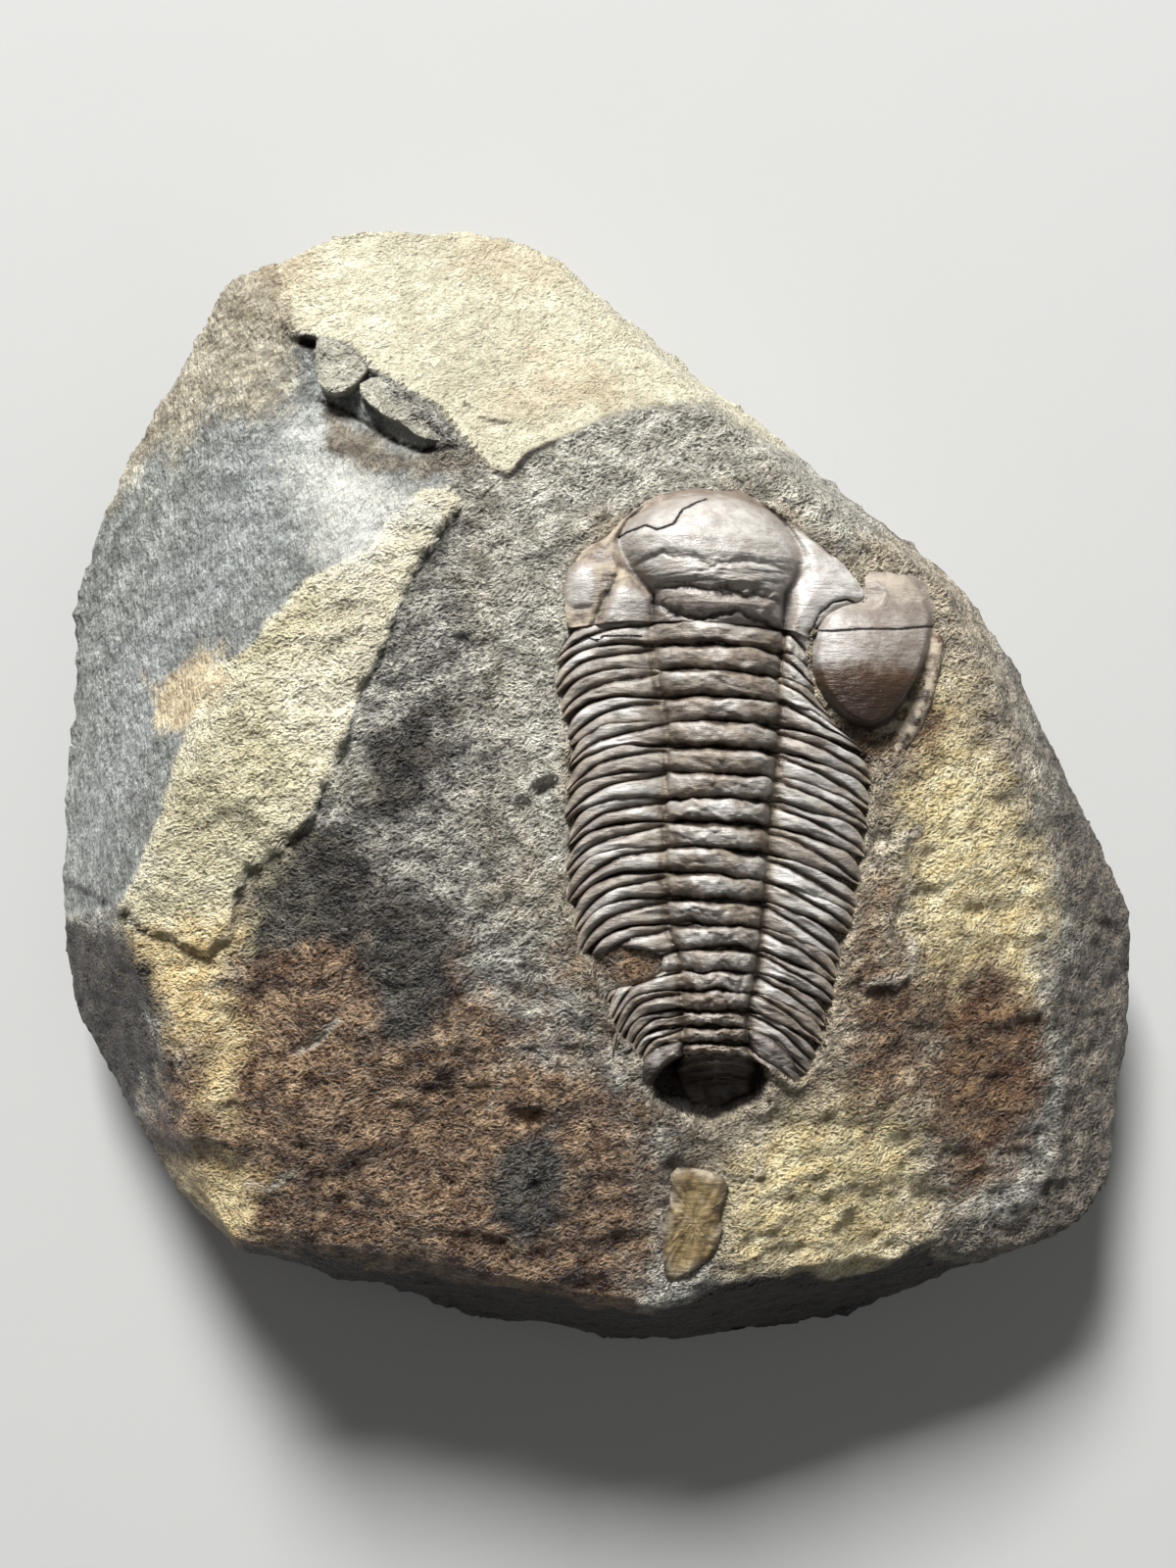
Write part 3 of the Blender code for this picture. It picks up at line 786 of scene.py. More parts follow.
        # painted glints: small specks made lighter as if catching the light
        painted_glint = board.math("MULTIPLY", grain.outputs["PaintedGlint"], self.painted_glint_share)
        lighter = board.blend(1.0, color, paint(self.painted_glint), "MULTIPLY")
        color = board.blend(painted_glint, color, lighter)
        smooth = board.step(board.attribute("slope"), -0.6, 0.6)
        relief = board.lerp(smooth, grain.outputs["Height"], grain.outputs["Streaks"])
        height = board.math("MULTIPLY", relief, rough)
        normal = board.add("ShaderNodeBump", {"Strength": 1.0, "Distance": MM, "Height": height})
        board.feed(shader.inputs["Base Color"], color)
        board.feed(shader.inputs["Roughness"], board.lerp(rough, *self.shine))
        board.feed(shader.inputs["Normal"], normal.outputs[0])
        return made


@dataclass(frozen=True)
class ShellFinish:
    """Dark mineralised shell, silvery where its coat is best kept; that silver is partly painted sheen, and
    its grooves take painted shade.
    """

    skin: bpy.types.NodeTree
    # deep: dark shell colour for grooves and low places, deepened as painted shade
    deep: Color = (0.018, 0.012, 0.009)
    brown: Color = (0.125, 0.092, 0.066)
    # silvery coat colour, laid on crests and lit places partly as painted sheen
    film_and_sheen: Color = (0.46, 0.445, 0.415)
    dust: Color = (0.34, 0.285, 0.21)
    cracked: Color = (0.008, 0.006, 0.005)
    gloss: float = 0.28
    wrinkle: float = 0.00024

    def material(self, name: str) -> bpy.types.Material:
        """Build the material.

        Args:
            name: the material's name.

        Returns:
            A satin shell, with painted shade in its grooves and dark along its cracks.
        """
        made, board, shader = new_material(name)
        place = board.millimetres()
        skin = board.add("ShaderNodeGroup", node_tree=self.skin)
        board.feed(skin.inputs["Place"], place)
        patch, pits = skin.outputs["Patch"], skin.outputs["Pits"]
        crest = board.attribute("crest")
        # silvery coat and painted sheen, broken into patches
        sheen = board.math("MULTIPLY", board.attribute("film_and_sheen"), board.math("ADD", 0.55, board.math(
            "MULTIPLY", patch, 0.45)), clamp=True)
        # painted shade: low crest values, in grooves and on shaded slopes, take the deep colour
        color = board.blend(crest, paint(self.deep), paint(self.brown))
        color = board.blend(sheen, color, paint(self.film_and_sheen))
        dusty = board.math("MULTIPLY", board.attribute("dusty"), patch, clamp=True)
        color = board.blend(dusty, color, paint(self.dust))
        color = board.blend(board.math("MULTIPLY", pits, 0.35), color, paint(self.deep))
        wobble = board.math("MULTIPLY", board.math("SUBTRACT", board.noise(place, 2.0, 3.0), 0.5), 0.25)
        crack = board.step(board.math("ADD", board.attribute("crack"), wobble), 0.20, 0.09)
        color = board.blend(crack, color, paint(self.cracked))
        height = board.math("SUBTRACT", skin.outputs["Height"], board.math("MULTIPLY", crack, 1.5))
        normal = board.add("ShaderNodeBump", {"Strength": 1.0, "Distance": self.wrinkle, "Height": height})
        roughness = board.lerp(dusty, board.lerp(pits, self.gloss, 0.6), 0.85)
        board.feed(shader.inputs["Base Color"], color)
        board.feed(shader.inputs["Roughness"], board.math("ADD", roughness, board.math(
            "MULTIPLY", crack, 0.4), clamp=True))
        board.feed(shader.inputs["Normal"], normal.outputs[0])
        return made


# The specimen

class Region(Enum):
    """What each part of the rock's upper surface is."""

    BED = "bed"
    LAYER = "layer"
    SLOPE = "slope"


class StainOrShade(Enum):
    """How a scar on the rock is coloured: a pale scratch, or painted shade along its crevice or in its hole.
    """

    NONE = "none"
    LIGHT = "light"
    # painted shade: the scar's furrow is painted dark, as the shadow in a crevice
    DARK = "dark"


@dataclass(frozen=True)
class Scar:
    """A small ridge or furrow along a line on the rock."""

    line: Outline
    width: float
    rise: float
    # the scar's colour: a pale scratch, or painted shade in its furrow
    stain: StainOrShade = StainOrShade.NONE
    closed: bool = False

    def distance(self, x: Array, y: Array) -> Array:
        """Distance to the scar's line."""
        return line_distance(x, y, self.line, self.closed)


@dataclass
class MatrixRock:
    """The broken block of mudstone with its beds, steps, hollows and stains."""

    plan: BodyPlan
    scrap_at: Outline
    rim: tuple[tuple[float, float, float], ...] = (
        (-54.0, 73.6, 18), (-44.2, 78.0, 18), (-37.8, 81.4, 17), (-29.8, 82.4, 16), (-18.4, 82.0, 16),
        (-7.6, 78.6, 18), (-0.7, 70.1, 22), (13.5, 57.4, 29), (26.0, 45.2, 29), (34.3, 39.2, 29),
        (41.4, 36.5, 28), (48.8, 31.4, 27), (53.9, 27.6, 26), (61.2, 17.1, 24), (66.6, 6.4, 22),
        (71.3, -5.0, 20), (74.9, -12.3, 18), (80.3, -19.0, 15), (79.3, -27.9, 14), (78.8, -36.7, 14),
        (78.0, -46.8, 15), (76.4, -58.0, 18), (71.6, -63.7, 22), (62.9, -66.5, 24), (37.7, -79.0, 12),
        (25.1, -81.5, 13), (12.5, -83.2, 14), (2.2, -82.4, 15), (-15.3, -78.6, 15), (-25.4, -73.4, 17),
        (-37.4, -69.6, 20), (-52.2, -67.5, 22), (-61.2, -59.8, 20), (-66.1, -50.9, 17), (-76.5, -35.3, 13),
        (-78.0, -29.5, 12), (-79.4, -22.1, 12), (-79.8, -14.8, 12), (-78.6, -7.4, 12), (-76.5, 1.5, 13),
        (-75.9, 14.7, 14), (-76.1, 29.3, 14), (-74.3, 37.4, 14), (-68.0, 46.8, 15), (-61.9, 61.2, 16))
    face_edge: Outline = path(-18.3, 47.2, -1.4, 50.2, 15.7, 52.4, 25.1, 43.5, 33.3, 36.7, 48.7, 27.4,
                              55.8, 15.2, 61.7, -6.9, 63.3, -18.1, 59.3, -39.1, 55.4, -56.1, 47.6, -64.7,
                              34, -67.5, 8.3, -73.3, -14.4, -68.3, -35.7, -64.9, -50.4, -64.2, -53.7, -59.9,
                              -55, -46, -54.3, -35.3, -52.7, -25.7, -65.9, -18.3, -59.4, -6.7, -49.1, 13.4,
                              -41, 24.2, -23.6, 37.7)
    base_inset: float = 0.86
    undercut: float = 1.0
    grid_step: float = 12.0
    voxel: float = 0.71
    notch: tuple[float, ...] = (56.5, -77.5, -20.0, 10.5, 11.0, 22.0)
    bed_start: tuple[float, float] = (43.4, 40.0)
    bed_fall: float = 0.62
    layer_step: float = 1.4
    scoop: tuple[float, float] = (2.5, 15.0)
    tail_depth: float = 3.9
    seat_gap: float = 0.3
    seat_drop: float = 1.9
    gap_floor: float = 0.75
    scrap_gap: float = 0.2
    swell_at: tuple[float, float] = (42.0, 30.5)
    swell: tuple[float, float] = (1.2, 4.5)
    bed: Outline = path(-70, 95, -48, 80, -44.4, 71.1, -43.7, 66.5, -42.2, 65.2, -39.4, 64.5, -35.6, 63.2,
                        -31.7, 59.4, -27.3, 56.3, -21.9, 53, -18.3, 48.3, -14.2, 43.5, -11.3, 41.9,
                        -9.5, 44.8, -7.9, 46.6, -4.5, 48, -1.2, 49.5, 3.3, 51.6, 9, 53, 15.8, 52.9,
                        24, 47.5, 80, 46, 80, 95)
    layer: Outline = path(-18, 38.5, -21.6, 33.5, -25.2, 27.5, -28, 20.3, -30.4, 14.9, -32.1, 11.3,
                          -34, 4.8, -34.5, 3.6, -36.9, -1.7, -39.4, -5.9, -43.1, -9.2, -47.4, -11.9,
                          -49.3, -15.6, -50, -21, -53.2, -23.5, -55.8, -22.4, -62.3, -20.1, -64.9, -17.7,
                          -90, -12, -90, 60, -24, 46, -19.3, 40.5)
    slope: Outline = path(-19.5, 41.2, -23.4, 40.3, -27.6, 37.5, -29.9, 32.6, -37.3, 28.9, -41.5, 25.3,
                          -44.6, 22.4, -49.4, 17.5, -52.6, 15.7, -54.8, 11.5, -56.4, 6.8, -58.8, 0.7,
                          -61.4, -8.4, -66.2, -17.1, -90, -22, -100, 100, -50, 95, -45, 66, -24, 48)
    scars: tuple[Scar, ...] = (
        Scar(path(40.5, -5.4, 42.6, -7.6, 42.3, -13.9, 40.5, -19.8), 0.9, 0.9),
        Scar(path(44.8, -6.4, 42.6, -7.6), 0.8, 0.7, StainOrShade.LIGHT),
        Scar(path(39, -8, 38.6, -14, 37.6, -20.5), 1.4, -0.6),
        Scar(path(44.2, -21.4, 44.6, -25.6, 42, -27, 38.2, -27.3), 0.9, 1.1, StainOrShade.LIGHT),
        Scar(path(-8.9, -0.4, -6.6, 1.6, -3.6, 1, -4.2, -1.4, -7.4, -2.4), 0.7, 1.2, closed=True),
        Scar(path(-7.2, -0.8, -5.4, 0.2), 1.1, -1.1),
        Scar(path(-9.4, -3.5, -6, -9, -5.2, -14), 1.6, -0.6),
        Scar(path(-48.7, -55.6, -45.2, -56.4, -41.6, -53.9), 0.7, 0.5, StainOrShade.LIGHT),
        Scar(path(-41.2, -37.1, -37.7, -35.3, -35, -32.2), 0.7, -0.5, StainOrShade.LIGHT),
        Scar(path(-11.4, -37.6, -14.2, -44.5), 0.5, 0.3, StainOrShade.LIGHT),
        Scar(path(-15.7, -60.6, -12.9, -58.2, -8.9, -59.2, -7.5, -61.4, -10.3, -63.1, -14.3, -62.5),
             0.8, 0.5, closed=True),
        Scar(path(-10.4, -46, -7.6, -46), 1.3, -1.2),
        Scar(path(23.7, -42.6, 23.4, -48, 23.1, -53.8), 0.55, 0.6, StainOrShade.LIGHT),
        Scar(path(5.4, -26.4, 9, -26.6, 12.6, -27.4), 0.8, 0.6),
        Scar(path(-16.8, 2, -14, 12, -9.6, 18.6, -7.4, 24, -8.4, 30), 1.6, -0.8),
        Scar(path(-10.6, 33, -6, 36.5, -1.6, 38.6, 2.6, 39.4), 1.5, -0.9),
        Scar(path(-5, 33.6, -1, 36, 3, 38), 1.0, 0.6),
        # painted shade: dark lines and holes along the broken edge of the pale bed
        Scar(path(-42, 64.2, -40.6, 63.6), 1.1, -2.6, StainOrShade.DARK),
        Scar(path(-32.6, 58.8, -31.2, 57.8), 0.9, -2.0, StainOrShade.DARK),
        Scar(path(-39.6, 55.3, -36, 53.6, -32.3, 51.4, -27.6, 48.2, -24, 46.6, -19, 46.6), 0.6, -0.9,
             StainOrShade.DARK),
        Scar(path(-13.6, 43.2, -11.6, 42.4, -10.4, 43.6, -8.6, 45.8, -5.6, 47.2), 0.8, -0.8, StainOrShade.DARK),
        Scar(path(-15.8, 51.3, -11.8, 50.4), 0.4, -0.3, StainOrShade.DARK),
        Scar(path(-18.1, 53.7, -17.5, 53.3), 0.4, -0.4, StainOrShade.DARK),
        Scar(path(53.1, -54.6, 55.3, -54, 57.6, -54.8), 0.8, 0.6),
    )
    tones: dict[str, tuple[Outline, ...]] = field(default_factory=lambda: {
        "beige": (path(-14, 42, -15, 20, -11, -14, 4, -34, 10, -48, 22, -76, 52, -76, 64, -20, 64, 6,
                       60, 30, 24, 56, 14, 44, -4, 42),),
        "dust": (path(-15, 46, -13, 0, -6, -14, -2, 10, -2, 36, 20, 42, 36, 32, 42, 38, 26, 52, 15, 56,
                      -2, 52),
                 path(-2, 46, 3, 56, 12, 63, 22, 57, 34, 48, 44, 38, 33, 37, 24, 46, 12, 50)),
        "green": (path(42, 10, 53, 8, 64, -12, 66, -22.4, 62.5, -32, 48, -31, 44, -8),
                  path(29, -44, 44.1, -41.3, 47.7, -55.7, 44.1, -66.4, 20.3, -67, 21.1, -56.1),
                  path(44, 14, 52, 12, 56, 2, 46, 2)),
        "brown": (path(-53, -22, -46, -14, -40, -10, -29, -20, -19, -25, -8, -34, 3, -42, 8, -48, 9, -58,
                       7, -78, -36, -76, -62, -70, -66, -44, -56, -30),
                  path(36, -27, 47.5, -27, 49, -43, 35, -43)),
        "dark": (path(-30.1, -17.3, -23.3, -15.3, -19.1, -21.3, -19.2, -32.1, -22.2, -37.6, -27.6, -36.9,
                      -30.4, -28.1),
                 path(-48, -12, -41.5, -6.8, -32, -4.8, -26.7, -10, -27.4, -18, -36.8, -20.5, -46, -23.5),
                 path(-12, -50, -4, -46, -6, -58, -10, -64, -16, -60),
                 path(-30, 6, -22, 14, -20, 4, -27, -6, -33, -4)),
        "rust": (path(46.5, -28.7, 55.9, -25.5, 64.1, -30.8, 63.8, -42.2, 60.9, -53.7, 54.4, -58.8,
                      49.4, -55.3, 48.2, -41.3),
                 path(30, 4, 44, 2, 50, 8, 44, 11),
                 path(-4.5, -20.5, 4, -20, 11, -22.5, 11, -28, 2, -29.5, -4, -27.5),
                 path(36, -16, 40, -16, 40, -30, 36, -34)),
        "side": (path(62, 14, 67.5, 0, 65.5, -8.4, 68.6, -22.5, 66.3, -42.3, 64.1, -60.8, 52, -66, 70, -90,
                      95, -60, 95, 10, 66, 26),),
        "facet": (path(-72.3, -18.6, -62.3, -21, -60.3, -25.2, -62.4, -32.9, -60.7, -37.9, -66, -46,
                       -90, -60, -90, -18),),
        "olive": (path(-34.5, 3.6, -36.9, -1.7, -39.4, -5.9, -43.1, -9.2, -50, -21, -56, -22, -64, -17,
                       -58, -2, -50, 10, -42, 12),
                  path(-44, 23, -36, 28, -40, 18, -50, 12)),
        "ochre": (path(-64, -19.5, -55.8, -21.4, -48.4, -19.5, -50.4, -27.1, -51.8, -35.6, -59, -35,
                       -62.6, -27.3),
                  path(-61, -55, -52, -52, -47, -63, -58, -68),
                  path(-54, -30, -50, -32, -52, -46, -56, -46)),
        "blue": (path(-41, 52, -40.5, 36, -46, 27, -56, 20, -63, 10, -68, -8, -74, -8, -66, 16, -58, 32,
                      -50, 50),),
        "pale": (path(-44, 54, -38, 32, -30, 31, -25, 40, -27, 46),),
        "orange": (path(-62.2, 9.5, -61.8, 13.6, -58.5, 15.8, -52.6, 16.4, -49.4, 15.9, -50.9, 11.9,
                        -54.1, 10.5, -56.9, 8.1, -60.5, 7.3),),
        "corner": (path(-80, 90, -46, 86, -43.6, 71.1, -43, 66, -43, 60, -48, 56, -60, 52, -74, 40),),
        # partly painted shade: the band under the ledge, for its shadow and its lamination
        "ledge": (path(-40, 56, -32.3, 51.6, -24.5, 47.3, -16, 46.6, -9, 46.6, -10.5, 41.6, -15.5, 42,
                       -24.5, 43.6, -32, 47.4, -38, 51),),
        "warm": (path(-20.9, 84.6, -3.3, 77.9, -6.4, 70.6, -18.6, 75.4),
                 path(-13, 52, 4, 56, 0, 62, -12, 58),
                 path(-54, 84, -44, 82, -40, 72, -46, 70)),
        # painted shade: the lower flank, in the block's shadow
        "flank": (path(-62, -69, -50.4, -66, -35.7, -67, -14.4, -70, -0.7, -73, 8.3, -75, 13, -71,
                       18.5, -69, 26.9, -68.5, 34, -69.5, 41.1, -68.4, 48, -68, 58, -71, 70, -84, 70, -100,
                       -62, -100),),
    })
    warp: tuple[tuple[float, float], ...] = ((0.11, 2.6), (0.33, 1.1))
    tail_hollow: Outline = path(7.4, -38.4, 10, -36.6, 22.8, -37.2, 24.4, -40.8, 23.4, -44, 19.4, -45.8,
                                16.4, -46.8, 11.8, -45.6, 8.2, -43.4)

    def corners(self) -> Array:
        """Rim, back and crowned face as a cloud of corners.

        Returns:
            The corners in millimetres.
        """
        rim = np.array(self.rim)
        back = np.column_stack((rim[:, :2] * self.base_inset, np.full(len(rim), -self.undercut)))
        steps = np.arange(-72.0, 73.0, self.grid_step)
        x, y = (axis.ravel() for axis in np.meshgrid(steps, steps))
        on_face = outline_distance(x, y, self.face_edge) > 0.0
        x, y = np.concatenate(([x[on_face], y[on_face]], np.array(self.face_edge).T), axis=1)
        return np.vstack((rim, back, np.column_stack((x, y, self.plan.crown.height(x, y)))))

    def block(self) -> bpy.types.Mesh:
        """The plain block: a hull with its notch, evened out and cut flat at the back.

        Returns:
            Its mesh, with small even faces.
        """
        bm = bmesh.new()
        for corner in self.corners() * MM:
            bm.verts.new(corner)
        hull = bmesh.ops.convex_hull(bm, input=bm.verts)
        spare = {item for item in hull["geom_interior"] + hull["geom_unused"]
                 if isinstance(item, bmesh.types.BMVert)}
        bmesh.ops.delete(bm, geom=list(spare), context="VERTS")
        x, y, above, *radii = self.notch
        bite = bmesh.new()
        bmesh.ops.create_uvsphere(bite, u_segments=24, v_segments=16, radius=1.0)
        bmesh.ops.scale(bite, vec=np.array(radii) * MM, verts=bite.verts)
        height = float(self.plan.crown.height(np.array(x), np.array(y))) + above
        bmesh.ops.translate(bite, vec=np.array((x, y, height)) * MM, verts=bite.verts)
        made = []
        for name, shape in (("block", bm), ("bite", bite)):
            bmesh.ops.recalc_face_normals(shape, faces=shape.faces)
            mesh = bpy.data.meshes.new(name)
            shape.to_mesh(mesh)
            shape.free()
            made.append(make_object(name, mesh))
        cut = made[0].modifiers.new("cut", "BOOLEAN")
        cut.operation, cut.solver, cut.object = "DIFFERENCE", "EXACT", made[1]
        even = made[0].modifiers.new("even", "REMESH")
        even.mode, even.voxel_size = "VOXEL", self.voxel * MM
        mesh = evaluated_mesh(made[0])
        for obj in made:
            bpy.data.objects.remove(obj)
        return self.cut_back(mesh)

    def cut_back(self, mesh: bpy.types.Mesh) -> bpy.types.Mesh:
        """Cut the underside flat and close it with one face.

        Args:
            mesh: the block, which is changed.

        Returns:
            The same mesh.
        """
        bm = bmesh.new()
        bm.from_mesh(mesh)
        whole = list(bm.verts) + list(bm.edges) + list(bm.faces)
        bmesh.ops.bisect_plane(bm, geom=whole, plane_co=(0, 0, 0), plane_no=(0, 0, 1), clear_inner=True)
        bmesh.ops.contextual_create(bm, geom=[edge for edge in bm.edges if edge.is_boundary])
        bmesh.ops.recalc_face_normals(bm, faces=bm.faces)
        bm.to_mesh(mesh)
        bm.free()
        return mesh

    def region(self, kind: Region, x: Array, y: Array) -> Array:
        """Distance into a region of the surface, positive inside."""
        return outline_distance(x, y, getattr(self, kind.value))

    def relief(self, points: Array) -> Array:
        """Change of height of the upper surface.

        Args:
            points: places on the plain block.

        Returns:
            How far each place moves up.
        """
        x, y, z = points.T
        flat = np.column_stack((x, y, 0.3 * z))
        waves = fractal(flat * 0.085, 4, 0.62, 3)
        hackly = 0.34 * ridged(flat * np.array((0.26, 0.38, 0.3)), 3, 0.6, 11)
        hackly += 0.12 * fractal(flat * 1.1, 2, 0.6, 5)
        ragged = 0.5 * fractal(flat * 0.5, 3, 0.6, 21)
        bed = self.region(Region.BED, x, y) + 0.6 * ragged
        layer = self.region(Region.LAYER, x, y) + 0.8 * ragged
        slope = self.region(Region.SLOPE, x, y)
        on_slope = smoothstep(-1.5, 3.0, slope)
        step = smoothstep(-0.45, 0.45, layer) * (1.0 - smoothstep(2.0, 14.0, slope))
        depth, reach = self.scoop
        scoop = smoothstep(-3.0, 3.0, slope) * depth * np.exp(-(np.maximum(0.0, -bed) / reach) ** 2)
        scoop *= smoothstep(72.0, 63.0, y)
        calm = 1.0 - 0.85 * on_slope
        folds = 0.45 * ridged(flat * np.array((0.13, 0.17, 0.1)), 2, 0.5, 15)
        face = 0.8 * waves * (1.0 - 0.5 * on_slope) + (hackly + folds) * calm + self.layer_step * step - scoop
        (swell_x, swell_y), (swell_rise, swell_width) = self.swell_at, self.swell
        face += swell_rise * bump(np.hypot(x - swell_x, y - swell_y), swell_width)
        along, across = self.plan.find(x, y)
        margin = self.plan.margin(x, y, along, across)
        crown = self.plan.crown.height(x, y) - z
        seat = crown + self.plan.envelope(along, across) - self.seat_gap
        seat -= self.seat_drop * smoothstep(0.0, 1.3, margin)
        seat += (0.75 + 0.9 * ragged) * bump(margin, 1.0)
        in_gap = smoothstep(-0.5, 0.8, outline_distance(x, y, self.plan.left_gap))
        seat += self.gap_floor * in_gap + 0.5 * hackly
        near = smoothstep(-2.2, 0.2, margin)
        face = face * (1.0 - near) + seat * near
        on_scrap = smoothstep(-1.6, 0.4, outline_distance(x, y, self.scrap_at))
        face = face * (1.0 - on_scrap) + (crown - self.scrap_gap) * on_scrap
        for scar in self.scars:
            face = face + scar.rise * bump(scar.distance(x, y), scar.width) * (1.0 - 0.7 * near)
        inside = outline_distance(x, y, self.tail_hollow) + ragged
        pit = crown - self.tail_depth * smoothstep(-0.4, 2.4, inside)
        face = np.where(inside > -0.4, np.minimum(face, pit + 0.2 * waves), face)
        start, top = self.bed_start
        plane = np.minimum(0.0, top - self.bed_fall * (y - start) - z) + 0.12 * waves + 0.04 * hackly
        on_bed = smoothstep(-0.35, 0.35, bed)
        return on_bed * plane + (1.0 - on_bed) * face

    def shape(self, mesh: bpy.types.Mesh) -> None:
        """Give the plain block its relief above and its broken sides.

        Args:
            mesh: the block, which is changed.
        """
        points, normals = read_points(mesh), read_points(mesh, "normal")
        up = smoothstep(0.15, 0.45, normals[:, 2])
        free = smoothstep(1.0, 5.0, points[:, 2])
        side = 0.9 * fractal(points * 0.08, 4, 0.6, 31) + 0.35 * ridged(points * 0.3, 3, 0.55, 41)
        moved = points + normals * ((1.0 - up) * free * side)[:, None]
        moved[:, 2] += up * self.relief(points)
        moved[:, 2] = np.where(points[:, 2] < 0.01, 0.0, np.maximum(moved[:, 2], 0.0))
        write_points(mesh, moved)

    def mark(self, mesh: bpy.types.Mesh, finish: MudstoneFinish) -> None:
        """Keep on the mesh how far each place lies inside each tone, and how rough it is.

        Args:
            mesh: the shaped block.
            finish: the tones.
        """
        spots = read_points(mesh)
        x, y, _ = spots.T
        wx = x + sum(size * fractal(spots * rate, 2, 0.5, 101) for rate, size in self.warp)
        wy = y + sum(size * fractal(spots * rate, 2, 0.5, 111) for rate, size in self.warp)
        inside = {name: np.max([outline_distance(wx, wy, outline) for outline in outlines], axis=0)
                  for name, outlines in self.tones.items()}
        bed = self.region(Region.BED, x, y)
        inside["bed"] = bed * (1.0 + 4.0 * smoothstep(4.0, -8.0, x)) - 0.8
        inside["slope"] = self.region(Region.SLOPE, x, y)
        inside["layer"] = np.minimum(self.region(Region.LAYER, x, y), 2.0 - inside["slope"])
        for name, stain in (("scratch", StainOrShade.LIGHT), ("shade", StainOrShade.DARK)):
            lines = [0.65 * scar.width - scar.distance(x, y) for scar in self.scars if scar.stain is stain]
            inside[name] = np.max(lines, axis=0)
        # painted shade: the tail hollow is painted dark, as well as the dark scars
        inside["shade"] = np.maximum(inside["shade"], outline_distance(x, y, self.tail_hollow) - 0.3)
        inside["chip"] = np.full(len(x), FAR_OUT)
        rough = np.full(len(x), finish.ground.grain)
        for tone in finish.tones:
            store(mesh, tone.mask, inside[tone.mask])
            share = tone.share * smoothstep(-tone.soft, tone.soft, inside[tone.mask])
            rough += share * (tone.grain - rough)
        store(mesh, "rough", rough)

    def build(self, finish: MudstoneFinish, stone: bpy.types.Material) -> None:
        """Make, shape and dress the rock.

        Args:
            finish: the tones that are kept on the mesh.
            stone: the material that reads them.
        """
        mesh = self.block()
        self.shape(mesh)
        self.mark(mesh, finish)
        finish_piece("rock", mesh, ("matrix_rock",), stone)


